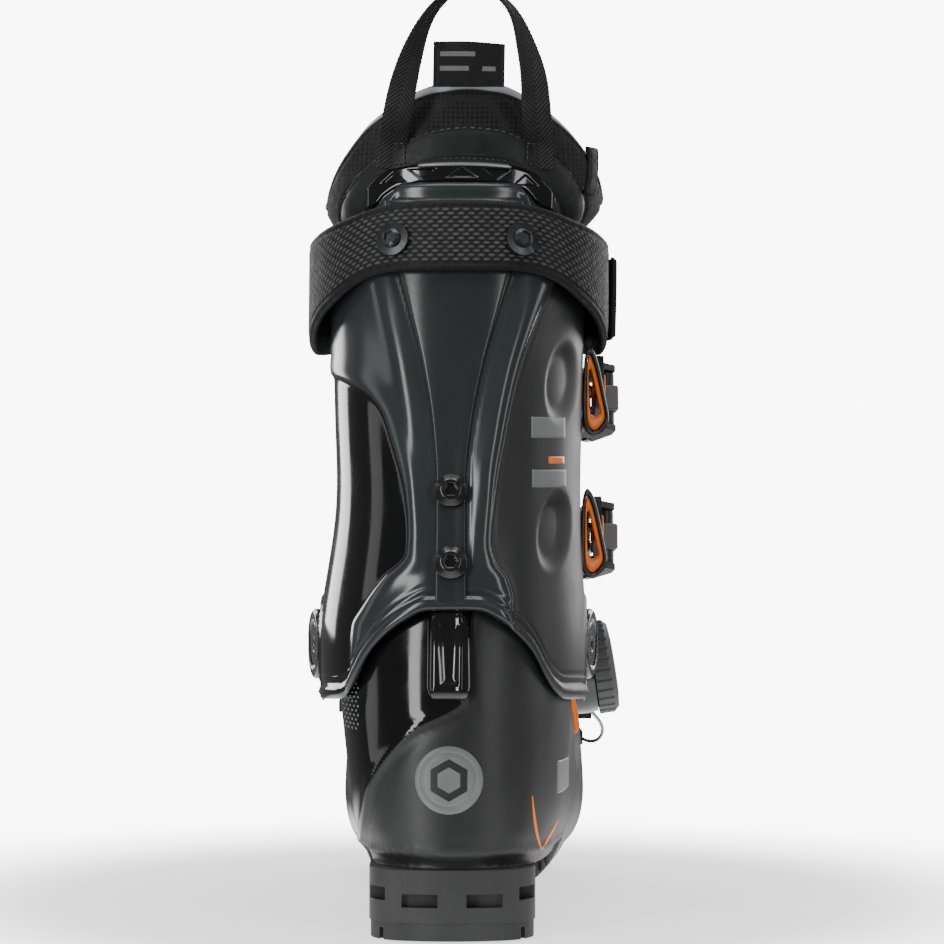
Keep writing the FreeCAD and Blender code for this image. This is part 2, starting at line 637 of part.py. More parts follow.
# ---------------------------------------------------------------- buckles
LEAN = Vector(0, 0.24, 1).normalize()
PIN_R = size("pin_radius")
BARREL_R = size("barrel_radius")
HINGE_OUT = 9.0
HINGE_AHEAD = 20.0
BARREL_OUT = 14.5
BARREL_AHEAD = 6.0
LEVER_TILT = 12
LUG_THICK = 2.5
RIVET_R = 2
RIVET_SPOTS = (-3, 10)
BUCKLE_TURN = 18        # degrees forward of the widest lateral line
ROD_R = 2.4


def buckle_frame(angle_deg, z):
    """Axes on the cuff: x out, y forward along the cuff, z up along the leg."""
    spot, outward = cuff_point(angle_deg, z)
    ahead = LEAN.cross(outward).normalize()
    return Placement(spot, Rotation(outward, ahead, LEAN, "ZYX"))


def lever_body(label):
    """The lever: a tapered plate with a finger window and two hinge ears, drawn closed."""
    body = start_body(label)
    pad = body.newObject("PartDesign::Pad", label + "_pad")
    plate = ((-30, 9), (-25, 12), (4, 15.5), (4, -15.5), (-25, -12), (-30, -9))
    pad.Profile = sketch_on(body, "YZ_Plane", outline(plate), label + "_plate")
    pad.setExpression("Length", "Sizes.lever_thick")
    doc.recompute()
    window = ((-25, 3.5), (-2, 9), (-2, -9), (-25, -3.5))
    sunk(body, label + "_window", outline(window), "Sizes.lever_thick", 0, "YZ_Plane", True)
    return body


def lever_solid(source):
    plate = source.Shape.copy()
    plate.rotate(Vector(0, 4, 0), Vector(0, 0, 1), -LEVER_TILT)
    plate.translate(Vector(8.5, 0, 0))
    ears = []
    for side in (-1, 1):
        low = min(side * 12.5, side * 15.5)
        ear = ((5, 0), (10, -3), (18.5, 2), (18.5, 10), (HINGE_OUT + 4, HINGE_AHEAD + 4),
               (HINGE_OUT - 3.5, HINGE_AHEAD + 4), (HINGE_OUT - 4, HINGE_AHEAD - 6))
        corners = [Vector(x, y, low) for x, y in ear]
        ears.append(Part.Face(Part.makePolygon(corners + corners[:1])).extrude(Vector(0, 0, 3)))
    solid = fuse([plate] + ears)
    turning_room = [cylinder(8.4, (BARREL_OUT, BARREL_AHEAD, -6.8), (0, 0, 1), 13.6),
                    cylinder(BARREL_R + 0.3, (BARREL_OUT, BARREL_AHEAD, -12.2), (0, 0, 1), 24.4)]
    holes = [cylinder(PIN_R + GAP, (HINGE_OUT, HINGE_AHEAD, -20), (0, 0, 1), 40),
             cylinder(PIN_R + GAP, (BARREL_OUT, BARREL_AHEAD, -20), (0, 0, 1), 40)]
    return solid.cut(fuse(turning_room)).cut(Part.makeCompound(holes))


def finger_liner_solid():
    """The coloured lining of the finger window."""
    edge = ((-24.7, 3.1), (-2.4, 8.5), (-2.4, -8.5), (-24.7, -3.1))
    hole = ((-19, 1.2), (-4.6, 5.2), (-4.6, -5.2), (-19, -1.2))
    faces = [Part.Face(Part.makePolygon([Vector(-0.8, y, z) for y, z in corners + corners[:1]]))
             for corners in (edge, hole)]
    lining = faces[0].cut(faces[1]).extrude(Vector(size("lever_thick") + 1.6, 0, 0))
    lining.rotate(Vector(0, 4, 0), Vector(0, 0, 1), -LEVER_TILT)
    lining.translate(Vector(8.5, 0, 0))
    return lining


def plate_solid():
    """The base plate riveted to the cuff, with two lugs that hold the hinge pin."""
    base = box((1.2, -8, -9), (4, HINGE_AHEAD + 5, 9))
    lugs = [box((4, HINGE_AHEAD - 5, low), (HINGE_OUT + 3.5, HINGE_AHEAD + 5, low + LUG_THICK))
            for low in (-9, 9 - LUG_THICK)]
    pin_hole = cylinder(PIN_R, (HINGE_OUT, HINGE_AHEAD, -20), (0, 0, 1), 40)
    rivet_holes = [cylinder(RIVET_R, (0, y, 0), (1, 0, 0), 10) for y in RIVET_SPOTS]
    return fuse([base] + lugs).cut(Part.makeCompound([pin_hole] + rivet_holes))


def barrel_solid():
    """The adjuster barrel: a round bar with journals that turn in the lever's ears."""
    bar = cylinder(BARREL_R, (BARREL_OUT, BARREL_AHEAD, -11.8), (0, 0, 1), 23.6)
    journal = cylinder(PIN_R, (BARREL_OUT, BARREL_AHEAD, -15.5), (0, 0, 1), 31)
    return bar.fuse(journal)


def block_solid():
    block = box((BARREL_OUT - 5.4, BARREL_AHEAD - 5, -6), (BARREL_OUT + 5.4, BARREL_AHEAD + 6, 6))
    return block.makeFillet(1.2, block.Edges)


def level_spot(angle_deg, grow, frame):
    """A point off the cuff at the buckle's own level, which drops towards the front."""
    level = frame.Base.z
    for _ in range(3):
        spot = cuff_point(angle_deg, level, grow)[0]
        level = frame.Base.z - LEAN.y / LEAN.z * (spot.y - frame.Base.y)
    spot.z = level
    return spot


def wrap(angles, near, far, height, frame):
    """A band that follows the cuff round the front, square to the leg."""
    inner, outer = ([level_spot(angle_deg, grow, frame) - LEAN * height / 2 for angle_deg in angles]
                    for grow in (near, far))
    edges = []
    for points in (inner, outer):
        curve = Part.BSplineCurve()
        curve.interpolate(Points=points)
        edges.append(curve.toShape())
    edges += [Part.LineSegment(inner[0], outer[0]).toShape(),
              Part.LineSegment(inner[-1], outer[-1]).toShape()]
    return Part.Face(Part.Wire(Part.__sortEdges__(edges))).extrude(LEAN * height)


def cord_solid(points, radius):
    rods = [cylinder(radius, p, q - p, (q - p).Length) for p, q in zip(points, points[1:])]
    joints = [Part.makeSphere(radius, p) for p in points]
    return fuse(rods + joints)


for name, z in (("upper", 230), ("lower", 167)):
    frame = buckle_frame(BUCKLE_TURN, z)

    def placed(shape, frame=frame):
        shape = shape.copy()
        shape.Placement = frame.multiply(shape.Placement)
        return shape

    source = lever_body(name + "_lever_plate")
    feature(name + "_lever", placed(lever_solid(source)))
    feature(name + "_finger_liner", placed(finger_liner_solid()))
    feature(name + "_buckle_base", placed(plate_solid()).cut(cuff_body))
    hinge_pin = cylinder(PIN_R, (HINGE_OUT, HINGE_AHEAD, -16.4), (0, 0, 1), 32.8)
    feature(name + "_hinge_pin", placed(hinge_pin))
    rivet = turned(name + "_rivet", ((0, 1.5), (2.6, 1.5), (3.6, 0.5), (3.6, 0), (RIVET_R, 0),
                                     (RIVET_R, -4.6), (0, -4.6)))
    rivets = [at(rivet, frame.multiply(facing(Vector(4, y, 0), Vector(1, 0, 0)))) for y in RIVET_SPOTS]
    feature(name + "_rivets", Part.makeCompound(rivets).cut(cuff))
    rod_start = frame.multVec(Vector(BARREL_OUT, BARREL_AHEAD, 0))
    rod_bend = frame.multVec(Vector(BARREL_OUT, BARREL_AHEAD + 20, 0))
    rod_end = level_spot(42, 13.85, frame)
    rod = cord_solid([rod_start, rod_bend, rod_end], ROD_R)
    block = placed(block_solid())
    barrel = placed(barrel_solid())
    feature(name + "_adjuster_barrel", barrel.cut(block))
    feature(name + "_adjuster_block", block)
    strap_angles = (40, 48, 56, 64, 72, 80, 88)
    bail = wrap(strap_angles, 12.5, 15.2, 15, frame)
    window = wrap((44, 52, 60, 68, 76, 83), 8, 20, 7.4, frame)
    bail = bail.cut(window).fuse(rod).cut(block).cut(barrel)
    hook = wrap((85.5, 87, 88.4), 8.6, 13, 15, frame)
    feature(name + "_bail", fuse([bail, hook]))
    rack = wrap((70, 76, 82, 88, 94, 100, 106, 112), FLAP - 1, FLAP + 2.8, 12, frame)
    teeth = [wrap((start, start + 1.2, start + 2.4), FLAP + 2.6, FLAP + 6.4, 12, frame)
             for start in (80, 89.4, 97, 104.6)]
    feature(name + "_ladder", fuse([rack] + teeth).cut(cuff))

# ---------------------------------------------------------------- lace dial
SPOOL_R = 11
POST_R = 5
DIAL_R = size("dial_radius")
HOUSE_FLOOR = -14
dial_house = turned("dial_house", ((SPOOL_R + GAP, 0), (SPOOL_R + GAP, 8.8), (19.8, 8.8), (20.4, 4),
                                   (19, HOUSE_FLOOR), (SPOOL_R + GAP, HOUSE_FLOOR)))
dial_floor = cylinder(SPOOL_R + GAP, (0, 0, HOUSE_FLOOR), (0, 0, 1), -HOUSE_FLOOR - 0.2)
dial_base = on_dial(fuse([dial_house.Shape, dial_floor]), 0).cut(foot_skin(0.05))
feature("dial_base", dial_base)
spool = turned("dial_spool_turn", ((0, 0.2), (SPOOL_R, 0.2), (SPOOL_R, 2), (9.5, 3), (9.5, 6),
                                   (SPOOL_R, 7), (SPOOL_R, 9), (POST_R, 9), (POST_R, 16), (0, 16)))
feature("dial_spool", on_dial(spool.Shape, 0))
knob = turned("dial_knob_turn", ((POST_R + GAP, 9.3), (DIAL_R, 9.3), (DIAL_R, 16.2), (19.2, 18.6),
                                 (14, 19.2), (13, 18.4), (0, 18.4), (0, 16.5), (POST_R + GAP, 16.5)))
GRIPS = 28
grip_ring = DIAL_R + 0.4
ribs = [cylinder(1.1, (grip_ring * math.cos(turn), grip_ring * math.sin(turn), 9), (0, 0, 1), 12)
        for turn in (2 * math.pi * rib / GRIPS for rib in range(GRIPS))]
feature("dial_knob", on_dial(knob.Shape.cut(Part.makeCompound(ribs)), 0))


def instep_line(row_share, grow, angles):
    """Points over the instep at a place between two sections."""
    low = int(row_share)
    share = row_share - low
    points = []
    for angle_deg in angles:
        angle = math.radians(angle_deg)
        first = foot_point(FOOT_ROWS[low], angle, grow)
        second = foot_point(FOOT_ROWS[low + 1], angle, grow)
        points.append(first + (second - first) * share)
    return points


LACE_R = size("lace_radius")
LACE_LIFT = FLAP + 2.6
sweep_angles = (62, 50, 38, 26, 14, 2, -10, -22, -34, -46, -58)
front_run = instep_line(3.3, LACE_LIFT, sweep_angles)
rear_run = instep_line(4.25, LACE_LIFT, sweep_angles)
dial_front = DIAL_SEAT + DIAL_AXIS * 3 + Vector(0, 20.6, -4)
dial_low = DIAL_SEAT + DIAL_AXIS * 3 + Vector(0, 14, -15.2)
medial_turn = [(front_run[-1] + rear_run[-1]) / 2]
route = [dial_low, Vector(70, 48, 74)] + front_run + medial_turn + rear_run[::-1] + [dial_front]
feature("dial_lace", cord_solid(route, LACE_R).cut(dial_base))
guides = []
for spot in (front_run[0], front_run[-1], rear_run[0], rear_run[-1]):
    base = Part.makeBox(9, 13, 12, spot - Vector(4.5, 6.5, 6))
    guides.append(base)
guide_skin = foot_skin(FLAP + 4.4).cut(foot_skin(0.02))
flap_shape = flap_skin.common(flap_region)
lace_way = cord_solid(route, LACE_R + 0.02)
guide_shapes = [guide.common(guide_skin).cut(lace_way).cut(flap_shape) for guide in guides]
feature("lace_guides", Part.makeCompound(guide_shapes))

# ---------------------------------------------------------------- checks and export
doc.recompute()
for item in doc.Objects:
    if "Invalid" in item.State or "Error" in item.State:
        raise RuntimeError("failed object: " + item.Label)
os.makedirs("parts", exist_ok=True)
for part in parts:
    if part.Shape.isNull() or not part.Shape.isValid():
        raise RuntimeError("bad shape: " + part.Label)
    if not part.Shape.Solids:
        raise RuntimeError("no solid: " + part.Label)
    part.Shape.exportStep("parts/%s.step" % part.Label)
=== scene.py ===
import json
import math

import bmesh
import bpy
import numpy as np
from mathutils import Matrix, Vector
from mathutils.bvhtree import BVHTree


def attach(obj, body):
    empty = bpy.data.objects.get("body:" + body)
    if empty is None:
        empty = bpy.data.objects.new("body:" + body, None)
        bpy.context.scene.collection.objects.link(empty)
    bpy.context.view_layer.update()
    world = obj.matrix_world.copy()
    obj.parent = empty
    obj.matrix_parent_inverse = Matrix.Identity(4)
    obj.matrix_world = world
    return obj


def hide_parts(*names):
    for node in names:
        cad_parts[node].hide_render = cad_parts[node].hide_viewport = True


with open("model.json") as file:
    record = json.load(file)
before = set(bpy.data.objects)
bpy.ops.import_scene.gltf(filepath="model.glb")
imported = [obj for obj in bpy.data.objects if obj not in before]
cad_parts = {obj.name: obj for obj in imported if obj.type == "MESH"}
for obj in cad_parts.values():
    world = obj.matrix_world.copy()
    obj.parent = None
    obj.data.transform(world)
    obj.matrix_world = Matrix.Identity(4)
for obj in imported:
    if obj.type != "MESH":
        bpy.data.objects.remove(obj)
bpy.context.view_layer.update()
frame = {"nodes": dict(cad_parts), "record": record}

MM = 0.001
nodes = frame["nodes"]

# ================================================================ camera and light
CAMERA_AWAY = 1.5525     # behind the mid-sole mark, metres
CAMERA_X = 0.0083
CAMERA_Z = 0.195
LENS = 128.7             # millimetres on a 36 mm sensor

scene = bpy.context.scene
camera_data = bpy.data.cameras.new("camera")
camera_data.lens = LENS
camera_data.sensor_width = 36
camera = bpy.data.objects.new("camera", camera_data)
camera.location = (CAMERA_X, -CAMERA_AWAY, CAMERA_Z)
camera.rotation_euler = (math.radians(90), 0, 0)
scene.collection.objects.link(camera)
scene.camera = camera

BACKDROP = 9.0           # brightness the camera sees behind the boot
SURROUND = 0.13          # dim grey room that the gloss surfaces mirror between the lights
world = bpy.data.worlds.new("studio")
world.use_nodes = True
backdrop = world.node_tree.nodes["Background"]
backdrop.inputs["Color"].default_value = (1, 1, 1, 1)
light_path = world.node_tree.nodes.new("ShaderNodeLightPath")
brightness = world.node_tree.nodes.new("ShaderNodeMapRange")
brightness.inputs["To Min"].default_value = SURROUND
brightness.inputs["To Max"].default_value = BACKDROP
world.node_tree.links.new(light_path.outputs["Is Camera Ray"], brightness.inputs["Value"])
world.node_tree.links.new(brightness.outputs["Result"], backdrop.inputs["Strength"])
scene.world = world

# name, place, size across, size up, watts; each faces the middle of the boot
LIGHTS = (
    ("rear_left_box", (-0.80, -1.05, 0.35), 0.30, 1.10, 11.0),
    ("rear_right_box", (0.95, -1.15, 0.45), 0.26, 1.10, 5.0),
    ("left_rim", (-1.15, 0.05, 0.45), 0.30, 1.10, 1.3),
    ("right_rim", (1.15, 0.15, 0.45), 0.30, 1.10, 2.5),
    ("front_left_box", (-0.80, 1.10, 0.60), 0.50, 1.00, 9.0),
    ("front_right_box", (0.80, 1.10, 0.60), 0.50, 1.00, 9.0),
    ("top_box", (0.0, -0.25, 1.50), 1.20, 0.90, 14.0),
)
for name, place, across, up, watts in LIGHTS:
    light = bpy.data.lights.new(name, "AREA")
    light.shape = "RECTANGLE"
    light.size = across
    light.size_y = up
    light.energy = watts
    lamp = bpy.data.objects.new(name, light)
    lamp.location = place
    lamp.rotation_euler = (Vector((0, -0.02, 0.19)) - Vector(place)).to_track_quat("-Z", "Y").to_euler()
    scene.collection.objects.link(lamp)

# ================================================================ numbers shared with the shells
# Lower shell sections, millimetres: top (y, z), bottom (y, z), medial and lateral half width,
# bottom squareness. They run from the toe and fan round the instep to the ankle.
FOOT_ROWS = (
    ((146, 50), (146, 16), 15, 15, 2.2),
    ((141, 60), (141, 11), 28, 30, 2.6),
    ((126, 70), (126, 9), 41, 45, 3.2),
    ((100, 79), (100, 8), 49, 56, 3.4),
    ((62, 98), (62, 8), 52.5, 61.6, 3.4),
    ((30, 125), (30, 8), 50, 59.5, 3.2),
    ((14, 137), (-37, 8), 47.5, 57, 3.0),
    ((8, 147), (-100, 8), 46, 53, 2.6),
    ((6, 154), (-143, 17), 46.5, 51, 2.3),
    ((5, 160), (-149.5, 52), 49, 52, 2.2),
    ((4, 166), (-149, 92), 51, 51.5, 2.2),
    ((3, 170), (-143.8, 126), 50, 50.2, 2.2),
    ((2, 175), (-132, 158), 47.5, 48.5, 2.2),
    ((1, 186), (-124, 184), 47, 49, 2.2),
)
TOP_SQUARE = 2.2
# Level rings: z, rear y, front y, medial x, lateral x.
CUFF_ROWS = (
    (85, -150, 44, -57, 58),
    (119, -149.5, 40, -60.5, 60),
    (150, -144.5, 34, -57, 58.5),
    (180, -138, 29, -53, 57.3),
    (215, -129, 28, -53.5, 58),
    (250, -120.5, 32, -54.5, 59),
    (285, -112.5, 39, -55.5, 60),
    (325, -104, 48, -55, 60),
)
LINER_ROWS = (
    (160, -136, 26, -48, 52),
    (180, -131, 22.5, -46, 50.3),
    (215, -122, 21, -46.6, 51),
    (250, -113.8, 25, -48, 52.4),
    (285, -106.8, 33, -50, 54.4),
    (301, -102.8, 38, -51, 55.5),
    (311, -100.8, 41, -56.5, 64),
    (322, -98.6, 44, -58.5, 68.5),
    (342, -96.2, 47.5, -58.5, 69),
    (368, -92.5, 50, -56, 67),
)
STRAP_ROWS = (
    (235, -125.5, 38, -61, 64.5),
    (285, -113.6, 45.5, -61, 66),
    (330, -103.5, 55, -61, 66),
)
RING_SQUARE = 2.25
PIVOT = (-58, 119)


# ================================================================ small mathematics
def power(value, exponent):
    return np.sign(value) * np.abs(value) ** (2.0 / exponent)


def natural_cubic(at, values, where):
    """Natural cubic spline through values at increasing places, sampled at where."""
    at = np.asarray(at, float)
    values = np.asarray(values, float)
    count = len(at)
    step = np.diff(at)
    matrix = np.eye(count)
    right = np.zeros_like(values)
    for i in range(1, count - 1):
        matrix[i, i - 1] = step[i - 1]
        matrix[i, i] = 2 * (step[i - 1] + step[i])
        matrix[i, i + 1] = step[i]
        right[i] = 6 * ((values[i + 1] - values[i]) / step[i] - (values[i] - values[i - 1]) / step[i - 1])
    bend = np.linalg.solve(matrix, right.reshape(count, -1)).reshape(values.shape)
    where = np.clip(np.asarray(where, float), at[0], at[-1])
    low = np.clip(np.searchsorted(at, where) - 1, 0, count - 2)
    shape = where.shape + (1,) * (values.ndim - 1)
    width = step[low].reshape(shape)
    b = ((where - at[low]).reshape(shape)) / width
    a = 1 - b
    return (a * values[low] + b * values[low + 1]
            + ((a ** 3 - a) * bend[low] + (b ** 3 - b) * bend[low + 1]) * width ** 2 / 6)


def gentle(points, where):
    """A smooth curve through (place, value) pairs without overshoot, flat beyond its ends."""
    at = np.array([p[0] for p in points], float)
    values = np.array([p[1] for p in points], float)
    slope = np.diff(values) / np.diff(at)
    tangent = np.zeros_like(values)
    for i in range(1, len(at) - 1):
        if slope[i - 1] * slope[i] > 0:
            tangent[i] = 2 * slope[i - 1] * slope[i] / (slope[i - 1] + slope[i])
    tangent[0] = slope[0]
    tangent[-1] = slope[-1]
    where = np.clip(np.asarray(where, float), at[0], at[-1])
    low = np.clip(np.searchsorted(at, where) - 1, 0, len(at) - 2)
    width = at[low + 1] - at[low]
    t = (where - at[low]) / width
    return ((2 * t ** 3 - 3 * t ** 2 + 1) * values[low] + (t ** 3 - 2 * t ** 2 + t) * width * tangent[low]
            + (3 * t ** 2 - 2 * t ** 3) * values[low + 1] + (t ** 3 - t ** 2) * width * tangent[low + 1])


def rise(value, low, high):
    """0 below low, 1 above high, smooth between."""
    t = np.clip((value - low) / (high - low), 0, 1)
    return t * t * (3 - 2 * t)


def groove(distance, width):
    return np.exp(-(distance / width) ** 2)


def rounded(share):
    """A quarter circle's height: 0 at share 0, 1 from share 1 on."""
    return np.sqrt(np.clip(1 - (1 - np.clip(share, 0, 1)) ** 2, 0, 1))


def least(*values):
    """The smallest of several fields, place by place."""
    smallest = values[0]
    for value in values[1:]:
        smallest = np.minimum(smallest, value)
    return smallest


# ================================================================ surfaces
def ring_reach(rows, z):
    table = np.array(rows, float)
    return natural_cubic(table[:, 0], table[:, 1:], z)


def ring_side(rows, x, z, sign, lift=0.0, inset=0.0):
    """How far forward a level ring's rear (-1) or front (+1) lies at places seen from behind."""
    rear, front, medial, lateral = (ring_reach(rows, z)[..., i] for i in range(4))
    half_x = (lateral - medial) / 2 + lift
    across = np.clip(np.abs((x - (medial + lateral) / 2) / half_x), 0, 1)
    depth = (1 - across ** RING_SQUARE) ** (1 / RING_SQUARE)
    return (rear + front) / 2 + sign * ((front - rear) / 2 + lift - inset) * depth


def ring_points(rows, z, angle, grow=0.0):
    """Points on stacked level rings; z and angle are arrays of one shape."""
    reach = ring_reach(rows, z)
    rear, front, medial, lateral = (reach[..., i] for i in range(4))
    half_x = (lateral - medial) / 2 + grow
    half_y = (front - rear) / 2 + grow
    x = (medial + lateral) / 2 + half_x * power(np.cos(angle), RING_SQUARE)
    y = (rear + front) / 2 + half_y * power(np.sin(angle), RING_SQUARE)
    return np.stack([x, y, z + np.zeros_like(x)], axis=-1)


def foot_section(row, angle, grow=0.0):
    (top_y, top_z), (low_y, low_z), medial, lateral, square = row
    top = np.array([0, top_y, top_z], float)
    low = np.array([0, low_y, low_z], float)
    length = np.linalg.norm(top - low)
    along = (top - low) / length
    bend = np.where(np.cos(angle) > 0, TOP_SQUARE, square)
    width = np.where(np.sin(angle) > 0, lateral, medial) + grow
    up = (length / 2 + grow) * power(np.cos(angle), bend)
    across = width * power(np.sin(angle), bend)
    return (top + low) / 2 + up[:, None] * along + across[:, None] * np.array([1.0, 0, 0])


def foot_grid(share, angle, grow=0.0):
    """Grid over the lower shell: share 0 at the toe to 1 at the ankle, angle 0 on top."""
    sections = np.array([foot_section(row, angle, grow) for row in FOOT_ROWS])
    gaps = np.linalg.norm(np.diff(sections, axis=0), axis=2).mean(axis=1)
    at = np.concatenate([[0], np.cumsum(gaps)])
    return natural_cubic(at / at[-1], sections, share)


def grid_normals(grid, closed=True):
    across = np.roll(grid, -1, axis=1) - np.roll(grid, 1, axis=1) if closed else np.gradient(grid, axis=1)
    normal = np.cross(across, np.gradient(grid, axis=0))
    return normal / np.maximum(np.linalg.norm(normal, axis=2, keepdims=True), 1e-9)


def open_normals(grid, axis, sign, spot=None):
    """Normals of an open grid, turned so that one spot's points the given way along an axis."""
    normal = grid_normals(grid, False)
    spot = spot or (grid.shape[0] // 2, grid.shape[1] // 2)
    return normal if normal[spot][axis] * sign > 0 else -normal


# ================================================================ meshes from grids
def add_object(name, verts, faces):
    """A closed mesh from places in millimetres, with its faces pointing out."""
    mesh = bpy.data.meshes.new(name)
    mesh.from_pydata((np.asarray(verts, float) * MM).tolist(), [], faces)
    mesh.validate()
    work = bmesh.new()
    work.from_mesh(mesh)
    bmesh.ops.recalc_face_normals(work, faces=work.faces)
    work.to_mesh(mesh)
    work.free()
    mesh.shade_smooth()
    item = bpy.data.objects.new(name, mesh)
    scene.collection.objects.link(item)
    return item


def grid_faces(rows, columns, closed_columns, closed_rows):
    r, c = np.indices((rows - (not closed_rows), columns - (not closed_columns)))
    low = r * columns
    high = (r + 1) % rows * columns
    c_next = (c + 1) % columns
    return np.stack([low + c, low + c_next, high + c_next, high + c], axis=-1).reshape(-1, 4).tolist()


def grid_object(name, grid, closed_rows=False, caps=False):
    """A stack of closed rings, joined end to end or capped."""
    rows, columns = grid.shape[:2]
    faces = grid_faces(rows, columns, True, closed_rows)
    if caps:
        faces.append(list(range(columns))[::-1])
        faces.append([(rows - 1) * columns + c for c in range(columns)])
    return add_object(name, grid.reshape(-1, 3), faces)


def store(item, name, values):
    """Keep a number per vertex for the material to read."""
    layer = item.data.attributes.new(name, "FLOAT", "POINT")
    layer.data.foreach_set("value", np.asarray(values, np.float32).ravel())


def slab_object(name, front, back):
    """A closed sheet between two grids of the same shape."""
    rows, columns = front.shape[:2]
    count = rows * columns
    faces = grid_faces(rows, columns, False, False)
    faces += [[count + v for v in face[::-1]] for face in grid_faces(rows, columns, False, False)]
    edge = [r * columns for r in range(rows)][::-1] + list(range(1, columns))
    edge += [r * columns + columns - 1 for r in range(1, rows)]
    edge += [(rows - 1) * columns + c for c in range(columns - 2, 0, -1)]
    for a, b in zip(edge, edge[1:] + edge[:1]):
        faces.append([a, b, count + b, count + a])
    return add_object(name, np.concatenate([front.reshape(-1, 3), back.reshape(-1, 3)]), faces)


def add_rings(verts, faces, rings):
    """Add one small capped stack of rings to a growing mesh."""
    count = len(rings[0])
    base = len(verts)
    for ring in rings:
        verts.extend(ring)
    for start in range(base, base + count * (len(rings) - 1), count):
        for turn in range(count):
            a = start + turn
            b = start + (turn + 1) % count
            faces.append((a, b, b + count, a + count))
    faces.append([base + turn for turn in range(count)][::-1])
    faces.append([len(verts) - count + turn for turn in range(count)])


def finish_piece(item, body, slot, *replaced):
    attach(item, body)
    if replaced:
        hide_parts(*replaced)
    return item


# ================================================================ materials
class Shader:
    """A Principled material and short ways to add the nodes that feed it."""

    def __init__(self, name, colour, rough, metallic=0.0, coat=0.0, coat_rough=0.08, sheen=0.0, specular=0.5):
        self.material = bpy.data.materials.new(name)
        self.material.use_nodes = True
        self.tree = self.material.node_tree
        self.shader = self.tree.nodes["Principled BSDF"]
        for socket, value in (("Base Color", (*colour, 1)), ("Roughness", rough), ("Metallic", metallic),
                              ("Coat Weight", coat), ("Coat Roughness", coat_rough), ("Sheen Weight", sheen),
                              ("Specular IOR Level", specular)):
            self.set(socket, value)
        self.where = self.add("TexCoord", "Object")
        self.normal = None

    def set(self, socket, value):
        self.shader.inputs[socket].default_value = value

    def feed(self, socket, output):
        self.tree.links.new(output, self.shader.inputs[socket])

    def add(self, kind, output, sockets=None, **settings):
        """A new node whose sockets take numbers or other nodes' outputs; gives back its own output."""
        node = self.tree.nodes.new("ShaderNode" + kind)
        for setting, value in settings.items():
            setattr(node, setting, value)
        for socket, value in (sockets or {}).items():
            if isinstance(value, bpy.types.NodeSocket):
                self.tree.links.new(value, node.inputs[socket])
            elif value is not None:
                node.inputs[socket].default_value = value
        return node.outputs[output]

    def noise(self, scale, detail=3.0, roughness=0.55, stretch=None):
        where = self.where
        if stretch:
            where = self.add("Mapping", "Vector", {"Scale": stretch, "Vector": where})
        return self.add("TexNoise", "Fac", {"Scale": scale, "Detail": detail, "Roughness": roughness,
                                            "Vector": where})

    def attribute(self, name):
        return self.add("Attribute", "Fac", attribute_name=name)

    def span(self, value, low, high, out_low, out_high, kind="LINEAR"):
        """Carry a value's range over to another range."""
        sockets = {"Value": value, "From Min": low, "From Max": high, "To Min": out_low, "To Max": out_high}
        return self.add("MapRange", "Result", sockets, interpolation_type=kind)

    def step(self, value, low, high, out_low=0, out_high=1):
        return self.span(value, low, high, out_low, out_high, "SMOOTHSTEP")

    def cloud(self, scale, detail, low=0, high=1):
        """Uneven patches between two numbers."""
        return self.span(self.noise(scale, detail), 0.3, 0.7, low, high)

    def maths(self, operation, a, b):
        return self.add("Math", 0, {0: a, 1: b}, operation=operation)

    def times(self, a, b):
        return self.maths("MULTIPLY", a, b)

    def mix(self, share, first, second):
        first, second = ((*colour, 1) if isinstance(colour, tuple) else colour for colour in (first, second))
        return self.add("Mix", 2, {"Factor": share, 6: first, 7: second}, data_type="RGBA")

    def bump(self, height, strength, distance):
        sockets = {"Strength": strength, "Distance": distance, "Height": height, "Normal": self.normal}
        self.normal = self.add("Bump", "Normal", sockets)
        self.feed("Normal", self.normal)

    def edges(self, colour, worn, amount):
        """Lighter wear where the surface bends sharply outwards."""
        sharp = self.step(self.add("NewGeometry", "Pointiness"), 0.52, 0.62, 0.0, amount)
        patchy = self.times(sharp, self.span(self.noise(90, 4), 0.35, 0.7, 0.2, 1.0))
        return self.mix(patchy, colour, worn)


def tint(colour, factor):
    return tuple(min(1.0, channel * factor) for channel in colour)


def moulded(name, colour, rough, grain=900.0, bump=0.06, vary=0.12, worn=0.35, **extra):
    """Injection-moulded plastic: faint mottling, a fine moulding grain and rubbed edges."""
    made = Shader(name, colour, rough, **extra)
    cloud = made.cloud(14, 4)
    base = made.mix(cloud, tint(colour, 1 - vary), tint(colour, 1 + vary))
    made.feed("Base Color", made.edges(base, tint(colour, 2.2), worn))
    streak = made.noise(60, 5, 0.6, (1.0, 1.0, 0.35))
    made.feed("Roughness", made.span(streak, 0.3, 0.7, rough * 0.86, min(1.0, rough * 1.16)))
    made.bump(made.noise(grain, 2), bump, 0.0004)
    return made


def coated_metal(name, colour, rough, metallic=0.0, grain=260.0, **extra):
    """Painted or plated metal: slight orange peel, tiny scuffs and bright rubbed corners."""
    made = Shader(name, colour, rough, metallic=metallic, **extra)
    cloud = made.cloud(45, 3)
    base = made.mix(cloud, tint(colour, 0.85), tint(colour, 1.2))
    made.feed("Base Color", made.edges(base, (0.3, 0.3, 0.31), 0.5))
    scuff = made.noise(220, 5, 0.7, (1.0, 0.25, 1.0))
    made.feed("Roughness", made.span(scuff, 0.35, 0.75, rough * 0.8, min(1, rough * 1.4)))
    made.bump(made.noise(grain, 2), 0.05, 0.0003)
    return made


